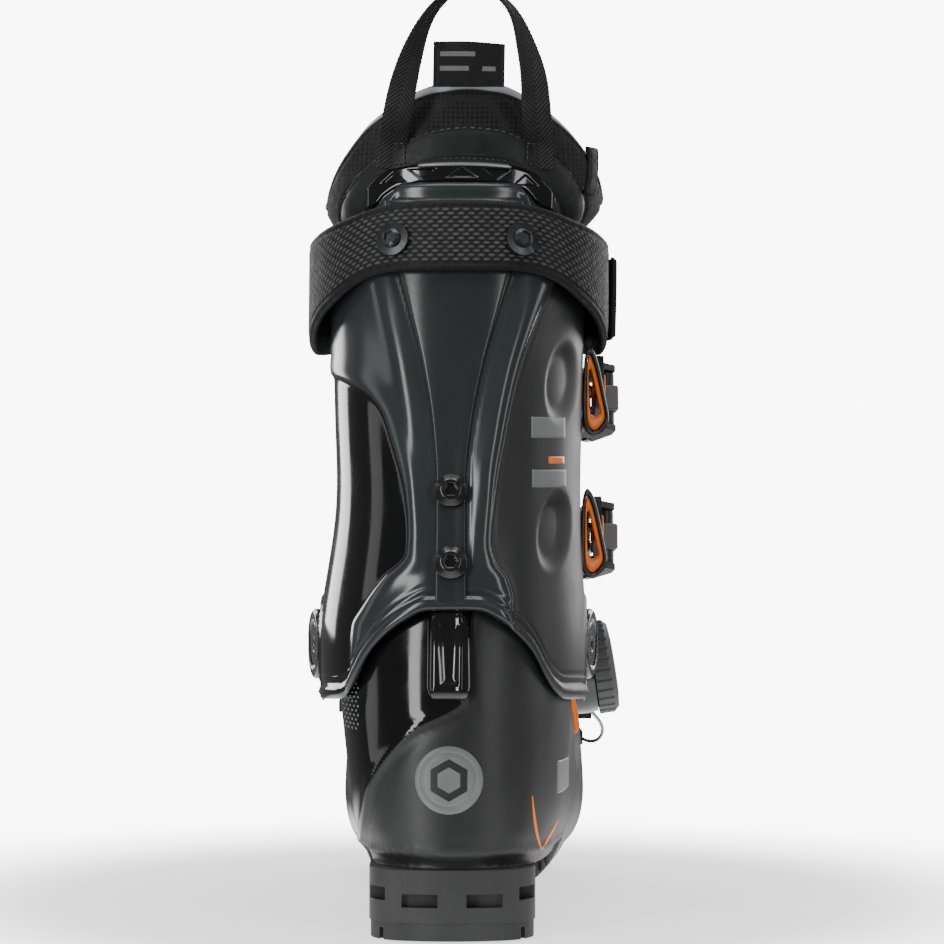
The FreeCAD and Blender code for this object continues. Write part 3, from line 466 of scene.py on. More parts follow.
def woven(name, colour, rough, thread=0.00055, **extra):
    """Cloth: two crossing sets of threads with fuzz and uneven dye."""
    made = Shader(name, colour, rough, sheen=0.04, specular=0.2, **extra)
    sockets = {"Scale": 0.31 / thread / 20, "Distortion": 0.6, "Detail": 2, "Vector": made.where}
    threads = made.times(*[made.add("TexWave", "Fac", sockets, bands_direction=way) for way in ("X", "Z")])
    cloud = made.cloud(30, 4)
    base = made.mix(cloud, tint(colour, 0.75), tint(colour, 1.3))
    made.feed("Base Color", made.mix(threads, base, tint(colour, 2.0)))
    made.feed("Roughness", made.cloud(400, 3, rough * 0.9, min(1, rough * 1.1)))
    made.bump(threads, 0.5, 0.0003)
    made.bump(made.noise(1500, 2), 0.3, 0.0002)
    return made


GLOSS_BLACK = (0.0045, 0.0047, 0.005)
CUFF_GREY = (0.028, 0.034, 0.034)
MATTE_GREY = (0.0125, 0.0129, 0.0132)
ORANGE = (1.0, 0.19, 0.008)
PRINT_GREY = (0.15, 0.155, 0.155)

gloss_black = moulded("gloss_black_plastic", GLOSS_BLACK, 0.12, grain=500, bump=0.02, vary=0.1, worn=0.15,
                      coat=0.6, coat_rough=0.04)
sole_rubber = moulded("sole_rubber", (0.017, 0.0174, 0.0174), 0.6, grain=1100, bump=0.2, vary=0.12, worn=0.3)
tread_rubber = moulded("tread_rubber", (0.02, 0.0205, 0.0205), 0.7, grain=900, bump=0.3, vary=0.15, worn=0.35)
board_plastic = moulded("board_plastic", (0.03, 0.03, 0.031), 0.6)
nylon_black = moulded("nylon_black", (0.012, 0.012, 0.013), 0.4, grain=700, bump=0.1)
dial_rubber = moulded("dial_rubber", (0.085, 0.09, 0.094), 0.55, grain=900, bump=0.2, vary=0.1)
block_grey = moulded("block_grey", (0.12, 0.125, 0.128), 0.42, grain=700, bump=0.1, worn=0.4)
orange_gloss = moulded("orange_plastic", ORANGE, 0.3, grain=600, bump=0.05, vary=0.06, worn=0.1)
bolt_black = coated_metal("bolt_black", (0.008, 0.008, 0.009), 0.22, coat=0.5)
buckle_black = coated_metal("buckle_black", (0.011, 0.011, 0.012), 0.33)
plain_steel = coated_metal("plain_steel", (0.52, 0.52, 0.52), 0.3, metallic=1.0)
stud_metal = coated_metal("stud_metal", (0.035, 0.036, 0.038), 0.3, metallic=0.6)
lace_metal = coated_metal("lace_metal", (0.25, 0.26, 0.27), 0.35, metallic=0.8)
liner_black = woven("liner_black", (0.014, 0.0145, 0.015), 0.8, thread=0.0009)
lining_grey = woven("lining_grey", (0.09, 0.092, 0.095), 0.9, thread=0.0008)
footbed_felt = woven("footbed_felt", (0.05, 0.05, 0.055), 0.9)
label_cloth = woven("label_cloth", (0.007, 0.007, 0.0075), 0.6, thread=0.0004)
thread_grey = woven("thread_grey", (0.05, 0.05, 0.052), 0.7, thread=0.0003)


def wear(item, *made):
    item.data.materials.clear()
    for shader in made:
        item.data.materials.append(shader.material)
    return item


# ================================================================ cuff
# Lines of the cuff seen from behind, as (z, x) pairs in millimetres.
MEDIAL_PANEL = ((92, -47), (109, -44), (130, -42.5), (137, -38.7), (150, -29.5), (161, -19), (172, -18.2),
                (184, -19), (207, -25.4), (220, -30), (228, -36), (234, -46), (239, -58), (248, -90),
                (262, -200))
LATERAL_GROOVE = ((95, 27.5), (133, 26), (141, 26.5), (151, 24), (158, 19), (166, 16.8), (185, 18.2),
                  (209, 22.4), (235, 28), (258, 36), (280, 47), (305, 62), (322, 80))
SPINE_LEFT = ((136, -7.3), (192, -6.9), (215, -8.6), (240, -13), (265, -19.5), (285, -25), (306, -30))
SPINE_RIGHT = ((136, 5.9), (192, 5.9), (215, 8.4), (240, 13.6), (265, 21), (285, 27), (306, 32))
HEM = ((-150, 139), (-146, 138), (-144, 134), (-141, 128.5), (-136, 120), (-130, 109), (-124, 103),
       (-116, 99.5), (-95, 98), (-72, 96.3), (-62, 94.8), (-52, 94.8), (-44, 98.5), (-36, 114), (-26, 136),
       (-10, 146.5), (10, 150.5), (50, 152))
RIM = ((-140, 318.6), (-100, 318.2), (-90, 314), (-78, 304.5), (-60, 298), (-40, 294.5), (0, 292), (60, 296))
CREST = ((0, 318.6), (25.0, 318.4), (28.0, 316.5), (31.5, 309), (35, 303), (90, 301))
CREST_MIDDLE = 2.5
CUFF_COLUMNS = 384
CUFF_LEVELS = 190
CUFF_WALL = 4.5
SKIRT_WALL = 1.7       # the thinned skirt that overhangs the lower shell
FLAP_LIFT = 4.0
DENTS = (((48.5, 234), 20), ((44.5, 170), 19))       # middle, seen from behind, and half height


def unrolled(points, rows):
    """Sideways place on the cuff that keeps growing past the widest line to the front."""
    reach = ring_reach(rows, points[..., 2])
    middle_y = (reach[..., 0] + reach[..., 1]) / 2
    widest = np.where(points[..., 0] > 0, reach[..., 3], reach[..., 2])
    front = points[..., 1] > middle_y
    return np.where(front, 2 * widest - points[..., 0], points[..., 0])


def from_line(pairs, z):
    """The line's x at a height, and the factor that turns a sideways gap into a distance."""
    x = gentle(pairs, z)
    slope = (gentle(pairs, z + 0.5) - gentle(pairs, z - 0.5))
    return x, 1 / np.sqrt(1 + slope ** 2)


def oval(points, centre, along, across, tilt):
    """1 at the middle of an oval seen from behind, falling to 0 at its edge."""
    dx = points[..., 0] - centre[0]
    dz = points[..., 2] - centre[1]
    u = dx * math.cos(tilt) + dz * math.sin(tilt)
    v = -dx * math.sin(tilt) + dz * math.cos(tilt)
    return rise(1 - np.sqrt((u / along) ** 2 + (v / across) ** 2), 0, 0.5)


def cuff_levels(angle, share, grow=0.0):
    """Rows of the cuff between its hem and its rim for each angle."""
    low = np.full(angle.shape, 120.0)
    high = np.full(angle.shape, 300.0)
    for _ in range(6):
        low = gentle(HEM, ring_points(CUFF_ROWS, low, angle)[..., 1])
        place = ring_points(CUFF_ROWS, high, angle)
        crest = gentle(CREST, np.abs(place[..., 0] - CREST_MIDDLE))
        high = np.minimum(gentle(RIM, place[..., 1]), np.where(place[..., 1] < -60, crest, 400))
    z = low[None, :] + (high - low)[None, :] * share[:, None]
    return ring_points(CUFF_ROWS, z, np.broadcast_to(angle, z.shape), grow), low, high


def cuff_relief(points, low, high):
    """Height added to the cuff's outside, the distances that colour its zones, and the dent mask used to
    paint shade into the dents.
    """
    z = points[..., 2]
    side = unrolled(points, CUFF_ROWS)
    rear = side == points[..., 0]
    medial_x, medial_scale = from_line(MEDIAL_PANEL, z)
    medial = (medial_x - side) * medial_scale
    lateral_x, lateral_scale = from_line(LATERAL_GROOVE, z)
    lateral = (side - lateral_x) * lateral_scale
    left_x, left_scale = from_line(SPINE_LEFT, z)
    right_x, right_scale = from_line(SPINE_RIGHT, z)
    spine = np.minimum((side - left_x) * left_scale, (right_x - side) * right_scale)
    relief = -1.1 * rise(medial, -1.2, 1.2)
    relief += 0.7 * groove(medial + 3.6, 3.0)
    relief -= 1.5 * groove(lateral, 1.5)
    relief += 0.9 * groove(lateral + 5.2, 4.0)
    relief -= 1.0 * rise(lateral, 0, 3)
    relief -= 0.6 * groove(spine + 1.2, 1.0)
    relief += 2.2 * groove(spine + 9.0, 6.5) * rise(z, 150, 190)
    relief -= 0.9 * rise(spine, -0.3, 1.0)
    above_hem = z - low[None, :]
    relief += 1.2 * rise(above_hem, -1, 0.8) * (1 - rise(above_hem, 3.6, 4.8))
    relief -= 0.7 * groove(above_hem - 6.0, 0.8)
    relief -= 0.5 * groove(above_hem - 9.5, 0.7)
    below_rim = high[None, :] - z
    relief += 0.8 * (1 - rise(below_rim, 2.5, 4.0))
    dents = np.maximum(*[oval(points, middle, 8.5, tall, -0.12) for middle, tall in DENTS]) * rear
    relief -= 3.4 * dents
    relief -= 0.9 * groove(points[..., 0] - 3.0, 0.45) * rise(z, 311.5, 313) * rear
    pivot = np.hypot(points[..., 1] - PIVOT[0], z - PIVOT[1])
    relief -= 0.8 * rise(20.0 - pivot, 0, 1.2)
    relief += 0.9 * groove(pivot - 20.5, 1.4)
    front = points[..., 1] > -10
    lateral_edge = 36 + (z - 90) * 0.017
    flap = rise(lateral_edge - points[..., 0], 0, 0.9) * rise(points[..., 0] + 46, 0, 22) * front
    relief += FLAP_LIFT * flap
    relief -= 0.6 * groove(points[..., 0] - lateral_edge + 4.5, 0.8) * front
    return relief, medial, lateral, dents


def make_cuff():
    angle = np.linspace(0, 2 * math.pi, CUFF_COLUMNS, endpoint=False)
    share = np.linspace(0, 1, CUFF_LEVELS)
    outer, low, high = cuff_levels(angle, share)
    relief, medial, lateral, dents = cuff_relief(outer, low, high)
    outside = outer + grid_normals(outer) * relief[..., None]
    inner, _, _ = cuff_levels(angle, np.linspace(1, 0, 24), -CUFF_WALL)
    skirt, _, _ = cuff_levels(angle, np.linspace(1, 0, 24), -SKIRT_WALL)
    inner = skirt + (inner - skirt) * rise(inner[..., 2:], 128, 156)
    rim = (outside[-1:] + inner[:1]) / 2 + np.array([0, 0, 1.3])
    hem = (outside[:1] + inner[-1:]) / 2 - np.array([0, 0, 1.0])
    grid = np.concatenate([outside, rim, inner, hem])
    item = grid_object("cuff_moulding", grid, closed_rows=True)
    spare = np.full((grid.shape[0] - CUFF_LEVELS, CUFF_COLUMNS), -20.0)
    # the dent mask goes to the material, which paints shade into the dents
    for name, values in (("medial_distance", medial), ("lateral_distance", lateral), ("dent_shade_mask", dents)):
        store(item, name, np.concatenate([values, spare * (name != "dent_shade_mask")]))
    finish_piece(item, "cuff", "cuff_plastic", "cuff_shell")
    return item


def cuff_material():
    """Gloss grey-green back, gloss black medial panel and matte lateral side in one moulding, with painted
    shade darkening the insides of the dents.
    """
    made = Shader("cuff_moulding", CUFF_GREY, 0.2)
    black = made.step(made.attribute("medial_distance"), -0.25, 0.25)
    matte = made.step(made.attribute("lateral_distance"), -0.25, 0.25)
    cloud = made.cloud(16, 4)
    grey = made.mix(cloud, tint(CUFF_GREY, 0.9), tint(CUFF_GREY, 1.12))
    colour = made.mix(black, grey, GLOSS_BLACK)
    # painted shade: the matte grey is darkened almost to black inside the dents
    painted_dent_shade = made.span(made.attribute("dent_shade_mask"), 0.05, 0.8, 0, 1)
    colour = made.mix(matte, colour, made.mix(painted_dent_shade, MATTE_GREY, tint(MATTE_GREY, 0.12)))
    made.feed("Base Color", colour)
    glossy = made.cloud(70, 4, 0.17, 0.23)
    rough = made.maths("SUBTRACT", glossy, made.times(black, 0.1))
    rough = made.maths("ADD", rough, made.times(matte, 0.26))
    made.feed("Roughness", rough)
    fine = made.times(made.noise(1300, 2), made.maths("ADD", made.times(matte, 0.9), 0.1))
    made.bump(fine, 0.1, 0.0004)
    return made


cuff_piece = wear(make_cuff(), cuff_material())


def cuff_patch(name, x, z, lift, thick, dish=0.0):
    """A raised panel on the cuff's back: edges tuck in, and it may dish along its middle."""
    rows, columns = x.shape
    u = np.minimum(np.linspace(0, 1, columns), np.linspace(1, 0, columns)) * 2
    v = np.minimum(np.linspace(0, 1, rows), np.linspace(1, 0, rows)) * 2
    round_edge = np.minimum(rise(u[None, :], 0, 0.10), rise(v[:, None], 0, 0.03))
    height = lift - thick * (1 - round_edge) - dish * rise(u[None, :], 0.15, 0.9)
    front = np.stack([x, ring_side(CUFF_ROWS, x, z, -1), z], axis=-1)
    normal = open_normals(front, 1, -1)
    return slab_object(name, front + normal * height[..., None], front + normal * (lift - thick - 0.6))


def make_spine_panel():
    z = np.linspace(138.5, 313, 180)
    left = gentle(SPINE_LEFT, z)
    right = gentle(SPINE_RIGHT, z)
    u = np.linspace(0, 1, 48)
    x = left[:, None] + (right - left)[:, None] * u[None, :]
    item = cuff_patch("spine_panel", x, np.broadcast_to(z[:, None], x.shape), 1.0, 1.6, 0.5)
    return finish_piece(item, "cuff", "cuff_plastic", "spine_insert")


spine_finish = moulded("spine_panel_plastic", tint(CUFF_GREY, 0.8), 0.26, grain=800, bump=0.05, vary=0.1,
                       worn=0.2)
wear(make_spine_panel(), spine_finish)


# ================================================================ lower shell
FOOT_COLUMNS = 300
FOOT_LEVELS = 270
GLOSS_LINE = ((-50, 12), (-42, 26), (-38, 45), (-34.6, 61), (-27.4, 75), (-15, 88), (-1.3, 95), (6.6, 100))
COLLAR_TOP = 157
HEEL_LEDGE = 29.5
TOE_LEDGE = 19.0
HEEL_FRONT = -74.5
TOE_REAR = 80.5


def sole_floor(y):
    """Lowest height of the shell: on the heel block, the arch or the toe block."""
    heel = 1 - rise(y, HEEL_FRONT - 0.5, HEEL_FRONT + 2)
    toe = rise(y, TOE_REAR - 2, TOE_REAR + 0.5)
    return 8 + (HEEL_LEDGE - 8) * heel + (TOE_LEDGE - 8) * toe


def make_lower_shell():
    angle = np.linspace(0, 2 * math.pi, FOOT_COLUMNS, endpoint=False)
    share = np.linspace(0, 1, FOOT_LEVELS)
    grid = foot_grid(share, angle)
    normal = grid_normals(grid)
    x, y, z = (grid[..., i] for i in range(3))
    slope = gentle(GLOSS_LINE, x + 0.5) - gentle(GLOSS_LINE, x - 0.5)
    behind = (z - gentle(GLOSS_LINE, x)) / np.sqrt(1 + slope ** 2)
    gloss = np.where(y < -20, np.minimum(behind, (4.0 - x) * 0.95), -(x + 12 + (y + 20) * 0.5) * 0.8)
    gloss = np.minimum(gloss, (60 - y) * 0.7 - (z - 40) * 0.5)
    rear = y < -60
    relief = -0.9 * groove(gloss - 0.6, 1.3) * (y < 40)
    relief += 0.8 * groove(gloss + 3.0, 2.4) * (y < 40)
    # rolled lip along the sole line, and a crease round the toe box and over the instep
    above = z - sole_floor(y)
    relief += 1.6 * (1 - rise(above, 3.5, 5.5)) * rise(above, -4, 0)
    relief -= 0.7 * groove(above - 7.0, 0.9)
    toe_cap = y - 92 + (z - 45) * 0.22
    relief -= 0.9 * groove(toe_cap, 1.1) * (above > 8)
    relief += 1.2 * rise(-toe_cap, 0, 6) * rise(y, 20, 60) * rise(z, 40, 70)
    # a lateral flap edge ahead of the cuff
    flap = (y + 34) - (z - 70) * 0.1
    relief += 1.6 * rise(flap, 0, 0.9) * (x > 0) * (1 - rise(y, 10, 40)) * rise(z, 60, 75)
    heel_edge = np.abs(x) - (22 + (z - 30) * 0.24)
    relief -= 0.8 * groove(heel_edge - 4, 6) * rear * rise(z, 34, 44) * (1 - rise(z, 92, 110))
    outside = grid + normal * relief[..., None]
    floor = sole_floor(outside[..., 1])
    outside[..., 2] = np.clip(np.maximum(outside[..., 2], floor), None, COLLAR_TOP)
    inner = foot_grid(np.linspace(1, 0.03, 40), angle, -5.0)
    inner[..., 2] = np.clip(np.maximum(inner[..., 2], sole_floor(inner[..., 1]) + 3), None, COLLAR_TOP - 0.5)
    full = np.concatenate([outside, inner])
    item = grid_object("lower_shell_moulding", full, caps=True)
    spare = np.full((inner.shape[0], FOOT_COLUMNS), -20.0)
    store(item, "gloss_distance", np.concatenate([gloss, spare]))
    return finish_piece(item, "lower_boot", "shell_plastic", "lower_shell")


def shell_material():
    """Matte grey heel and side, gloss black medial side, divided along the stored line."""
    made = Shader("lower_shell_moulding", MATTE_GREY, 0.45)
    gloss = made.step(made.attribute("gloss_distance"), -0.3, 0.3)
    cloud = made.cloud(15, 4)
    grey = made.mix(cloud, tint(MATTE_GREY, 0.9), tint(MATTE_GREY, 1.15))
    made.feed("Base Color", made.mix(gloss, made.edges(grey, tint(MATTE_GREY, 2.2), 0.25), GLOSS_BLACK))
    rough = made.cloud(60, 5, 0.4, 0.5)
    made.feed("Roughness", made.maths("SUBTRACT", rough, made.times(gloss, 0.35)))
    fine = made.times(made.noise(1300, 2), made.maths("SUBTRACT", 1.0, made.times(gloss, 0.9)))
    made.bump(fine, 0.12, 0.0004)
    return made


shell_piece = wear(make_lower_shell(), shell_material())


def tree_of(item):
    mesh = item.data
    return BVHTree.FromPolygons([vertex.co.copy() for vertex in mesh.vertices],
                                [tuple(face.vertices) for face in mesh.polygons])


shell_tree = tree_of(shell_piece)
cuff_tree = tree_of(cuff_piece)


def meet(tree, starts, along):
    """Where rays first meet a surface, in millimetres, with its outward normals there."""
    starts = np.asarray(starts, float)
    places, normals = np.full((2,) + starts.shape, np.nan)
    for index in np.ndindex(starts.shape[:-1]):
        hit, normal, _, _ = tree.ray_cast(Vector(starts[index]) * MM, Vector(along))
        if hit:
            places[index] = np.array(hit) / MM
            normals[index] = normal if normal.dot(Vector(along)) < 0 else -normal
    return places, normals


def from_behind(tree, x, z):
    return meet(tree, np.stack([x, np.full_like(x, -400), z], axis=-1), (0, 1, 0))


def draped(name, tree, x, z, lift, thick):
    """A thin inlay laid on a surface seen from behind, its border pressed down."""
    places, normals = from_behind(tree, x, z)
    raised = np.full(x.shape, 0.35)
    raised[1:-1, 1:-1] = 1
    return slab_object(name, places + normals * (lift * raised)[..., None], places + normals * (lift - thick))


DISC_RADIUS = 14.3


def make_heel_disc():
    """A plain round inlay with a sunken ring, in place of any badge."""
    centre = (-1.3, 66.8)
    radii = np.concatenate([np.linspace(0.4, DISC_RADIUS - 0.4, 26), [DISC_RADIUS]])
    turn = np.linspace(0, 2 * math.pi, 96, endpoint=False)
    places, normals = from_behind(shell_tree, centre[0] + radii[:, None] * np.cos(turn),
                                  centre[1] + radii[:, None] * np.sin(turn))
    height = 0.55 - 0.45 * rise(radii, DISC_RADIUS - 1.1, DISC_RADIUS) - 0.5 * groove(radii - 11.2, 0.5)
    front = places + normals * height[:, None, None]
    item = grid_object("heel_disc_inlay", front, caps=True)
    around_centre = np.hypot(front[..., 0] - centre[0], front[..., 2] - centre[1])
    bend = np.degrees(np.arctan2(front[..., 2] - centre[1], front[..., 0] - centre[0]))
    wedge = np.abs((bend + 30) % 60 - 30)
    hexagon = around_centre * np.cos(np.radians(wedge))
    store(item, "dark_distance", 2.4 - np.abs(hexagon - 6.2) - 0.9)
    return finish_piece(item, "lower_boot", "inlay_grey", "heel_disc")


def disc_material():
    made = Shader("heel_disc_inlay", PRINT_GREY, 0.5)
    dark = made.step(made.attribute("dark_distance"), -0.15, 0.15)
    cloud = made.cloud(80, 4)
    light = made.mix(cloud, tint(PRINT_GREY, 0.85), tint(PRINT_GREY, 1.1))
    made.feed("Base Color", made.mix(dark, light, MATTE_GREY))
    made.feed("Roughness", made.cloud(200, 3, 0.42, 0.55))
    made.bump(made.noise(1200, 2), 0.1, 0.0003)
    return made


wear(make_heel_disc(), disc_material())


CHEVRON = (("heel_chevron", ((33.6, 59), (34.4, 51), (35.6, 43), (37.6, 35)), ["heel_accent"]),
           ("heel_chevron_tail", ((37.6, 35), (41, 40), (45, 46)), []))


def make_accent():
    """A narrow painted chevron low on the lateral heel."""
    for name, path, node in CHEVRON:
        fine = natural_cubic(np.linspace(0, 1, len(path)), path, np.linspace(0, 1, 26))
        along = np.gradient(fine, axis=0)
        along /= np.linalg.norm(along, axis=1, keepdims=True)
        across = np.stack([-along[:, 1], along[:, 0]], axis=1)
        width = 0.55 * np.sin(np.linspace(0.25, math.pi - 0.45, 26))
        offsets = np.linspace(-1, 1, 5)
        x, z = (fine[:, i:i + 1] + across[:, i:i + 1] * width[:, None] * offsets for i in range(2))
        stripe = draped(name, shell_tree, x, z, 0.3, 0.7)
        wear(finish_piece(stripe, "lower_boot", "accent_orange", *node), orange_gloss)


make_accent()


# ================================================================ power strap
STRAP_LOW = ((-150, 281), (-112, 281), (-85, 268), (-50, 254), (-20, 248), (15, 251), (75, 262))
STRAP_HIGH = ((-150, 312), (-112, 312), (-85, 304), (-50, 298), (-20, 296), (15, 297), (75, 305))
STRAP_THICK = 4.0
STRAP_TURNS = 900
STRAP_LINES = 64
CELL = 4.4            # pitch of the raised cells in the webbing
SELVEDGE = 3.2


def band_levels(rows, low_edge, high_edge, angle, share, grow=0.0):
    """Grid over a tilted band whose edges are given by their height at each distance forward."""
    low = np.full(angle.shape, 270.0)
    high = np.full(angle.shape, 300.0)
    for _ in range(6):
        low = gentle(low_edge, ring_points(rows, low, angle)[..., 1])
        high = gentle(high_edge, ring_points(rows, high, angle)[..., 1])
    z = low[None, :] + (high - low)[None, :] * share[:, None]
    return ring_points(rows, z, np.broadcast_to(angle, z.shape), grow)


def run_along(grid):
    """Distance along the middle row, and across from the lower edge, in millimetres."""
    middle = grid[grid.shape[0] // 2]
    step = np.linalg.norm(np.diff(middle, axis=0), axis=1)
    along = np.concatenate([[0], np.cumsum(step)])
    rows = np.linalg.norm(np.diff(grid, axis=0), axis=2)
    across = np.concatenate([np.zeros((1, grid.shape[1])), np.cumsum(rows, axis=0)])
    return np.broadcast_to(along, grid.shape[:2]), across


def webbing_height(along, across, total, length=None):
    """Raised cells in staggered rows, with a finely ribbed edge along each side."""
    if length:
        along = along * (round(length / CELL) * CELL / length)
    half_row = CELL * 0.42
    row = np.floor(across / half_row)
    u = np.mod(along + CELL * 0.5 * np.mod(row, 2), CELL) / CELL
    v = across / half_row - row
    cell = np.sin(math.pi * u) ** 0.8 * np.sin(math.pi * v) ** 0.7
    from_edge = np.minimum(across, total - across)
    edge = 1 - rise(from_edge, SELVEDGE - 0.5, SELVEDGE + 0.5)
    rib = 0.5 + 0.5 * np.cos(2 * math.pi * along / 1.7)
    return cell * (1 - edge), rib * edge


def make_strap():
    angle = np.linspace(0, 2 * math.pi, STRAP_TURNS, endpoint=False)
    share = np.linspace(0, 1, STRAP_LINES)
    outer = band_levels(STRAP_ROWS, STRAP_LOW, STRAP_HIGH, angle, share, STRAP_THICK - 0.6)
    along, across = run_along(outer)
    total = across[-1:]
    length = along[0, -1] + np.linalg.norm(outer[0, 0] - outer[0, -1])
    cell, rib = webbing_height(along, across, total, length)
    from_edge = np.minimum(across, total - across)
    roll = -1.1 * (1 - rise(from_edge, 0, 1.3)) + 0.35 * groove(from_edge - SELVEDGE, 0.6) * -1
    outside = outer + grid_normals(outer) * (0.55 * cell + 0.22 * rib + roll)[..., None]
    inner = band_levels(STRAP_ROWS, STRAP_LOW, STRAP_HIGH, angle, np.linspace(1, 0, 6), 0.3)
    full = np.concatenate([outside, inner])
    item = grid_object("power_strap_webbing", full, closed_rows=True)
    # the cell height is stored so that the material paints a highlight on the raised threads
    store(item, "thread_highlight", np.concatenate([cell, np.zeros(inner.shape[:2])]))
    return finish_piece(item, "cuff", "strap_web", "power_strap")


def webbing_material(name, dark, light):
    """Webbing: the stored height lightens the raised threads as a painted highlight on their tops, fine
    fibres roughen them.
    """
    made = Shader(name, dark, 0.55, sheen=0.03, specular=0.3)
    # painted highlight: the raised tops are mixed from the dark colour towards the light one
    thread = made.step(made.attribute("thread_highlight"), 0.35, 0.95)
    patch = made.cloud(120, 4, 0.55, 1.25)
    made.feed("Base Color", made.mix(made.times(thread, patch), dark, light))
    made.feed("Roughness", made.cloud(300, 4, 0.5, 0.72))
    fibre = made.noise(900, 3, 0.6, (1, 1, 3.5))
    made.bump(fibre, 0.5, 0.0004)
    return made


# dark webbing colour, then the colour of the painted highlight on the raised threads
strap_finish = webbing_material("power_strap_webbing", (0.004, 0.004, 0.0043), (0.075, 0.076, 0.077))
wear(make_strap(), strap_finish)
TAB_REAR = -44.0
TAB_LOW = 254.5
TAB_HIGH = 291.0
TAB_SHORT = 3.8       # the tab stands off the strap and so reaches further forward than its own ring
PEEL = next(joint for joint in frame["record"]["behaviour"]["joints"] if joint["name"] == "strap_peel")


def hem_line(z):
    """How far forward the tab's hinge line lies at a height."""
    return PEEL["pos_m"][1] / MM + (z - PEEL["pos_m"][2] / MM) * PEEL["axis"][1] / PEEL["axis"][2]


def ring_angle(rows, z, y):
    """The turn at which a level ring's lateral side reaches a distance forward."""
    reach = ring_reach(rows, z)
    share = (y - (reach[..., 0] + reach[..., 1]) / 2) / ((reach[..., 1] - reach[..., 0]) / 2)
    return np.arcsin(np.clip(np.sign(share) * np.abs(share) ** (RING_SQUARE / 2), -1, 1))


def make_tab():
    """The free end of the strap: a stiff folded end with a stitched border, peeled at its front hem."""
    rows, columns = 56, 110
    z = np.linspace(TAB_LOW, TAB_HIGH, rows)
    zz, along_tab = np.meshgrid(z, np.linspace(0, 1, columns), indexing="ij")
    front = hem_line(zz) - TAB_SHORT
    yy = TAB_REAR + 0.3 + (front - TAB_REAR - 0.3) * along_tab
    angle = ring_angle(STRAP_ROWS, zz, yy)
    outer = ring_points(STRAP_ROWS, zz, angle, STRAP_THICK)
    normal = open_normals(outer, 0, 1)
    edge = least(zz - TAB_LOW, TAB_HIGH - zz, yy - TAB_REAR, front - yy)
    height = 2.9 - 1.5 * (1 - rise(edge, 0, 1.6)) - 0.5 * groove(edge - 3.4, 0.45)
    height += 0.45 * (1 - rise(yy, TAB_REAR + 14, TAB_REAR + 15))
    along, across = run_along(outer)
    cell, _ = webbing_height(along, across, across[-1:])
    inside_border = rise(edge, 4.2, 5.0) * rise(yy, TAB_REAR + 15.5, TAB_REAR + 16.5)
    height += 0.4 * cell * inside_border
    item = slab_object("strap_free_end", outer + normal * height[..., None], outer + normal * 0.55)
    # the cell height inside the border is stored so that the material paints a highlight on the raised
    # threads
    store(item, "thread_highlight", np.concatenate([(cell * inside_border).ravel(), np.zeros(rows * columns)]))
    return finish_piece(item, "strap_end", "strap_web", "strap_tab")


wear(make_tab(), strap_finish)


# ================================================================ liner
# The liner's top edge seen from behind, as (x, z) pairs, and from the side, as (y, z) pairs.
ARCH = ((-58, 312), (-56.5, 318), (-52, 329), (-45, 339), (-36, 348.5), (-22, 357), (-6, 362.3),
        (6.6, 363.6), (20, 362.3), (36, 356), (48, 348), (57.5, 338.5), (64.5, 328), (68.5, 317))
FRONT_DIP = ((-100, 372), (-34, 366), (-10, 348), (20, 331), (80, 327))
LINER_WALL = 8.0
LINER_FOOT_TOP = 163.0
LINER_TURNS = 460
TONGUE_SIDES = (-25.0, 31.0)


def liner_top(points):
    """Height of the liner's edge over a point, blended where the two outlines meet."""
    from_rear = gentle(ARCH, points[..., 0])
    from_side = gentle(FRONT_DIP, points[..., 1])
    return -2.5 * np.log(np.exp(-from_rear / 2.5) + np.exp(-from_side / 2.5))


def liner_columns():
    """The turns of the open ring, from the lateral edge beside the tongue to the medial one."""
    reach = ring_reach(LINER_ROWS, np.array(250.0))
    middle = (reach[2] + reach[3]) / 2
    half = (reach[3] - reach[2]) / 2
    ends = []
    for side in TONGUE_SIDES:
        share = (side + math.copysign(1.2, side) - middle) / half
        ends.append(math.acos(math.copysign(abs(share) ** (RING_SQUARE / 2), share)))
    return np.linspace(ends[1], ends[0] - 2 * math.pi, LINER_TURNS)


def liner_zones(points, top):
    """Heights and colour zones of the liner's outside."""
    x, z = points[..., 0], points[..., 2]
    below = top - z
    stitched = below - 20.0
    band = below - 33.5 - 3.0 * rise(np.abs(x - 3), 20, 60)
    relief = 0.55 * rise(below, 0.5, 5) - 1.6 * (1 - rise(below, 0, 2.2))
    relief -= 0.9 * groove(below - 4.6, 0.8)
    relief -= 0.7 * groove(stitched, 0.9)
    relief -= 0.8 * groove(band, 0.8)
    relief += 0.5 * np.sin(math.pi * np.clip(stitched / 13.5, 0, 1)) * (stitched > 0)
    return below, stitched, band, relief


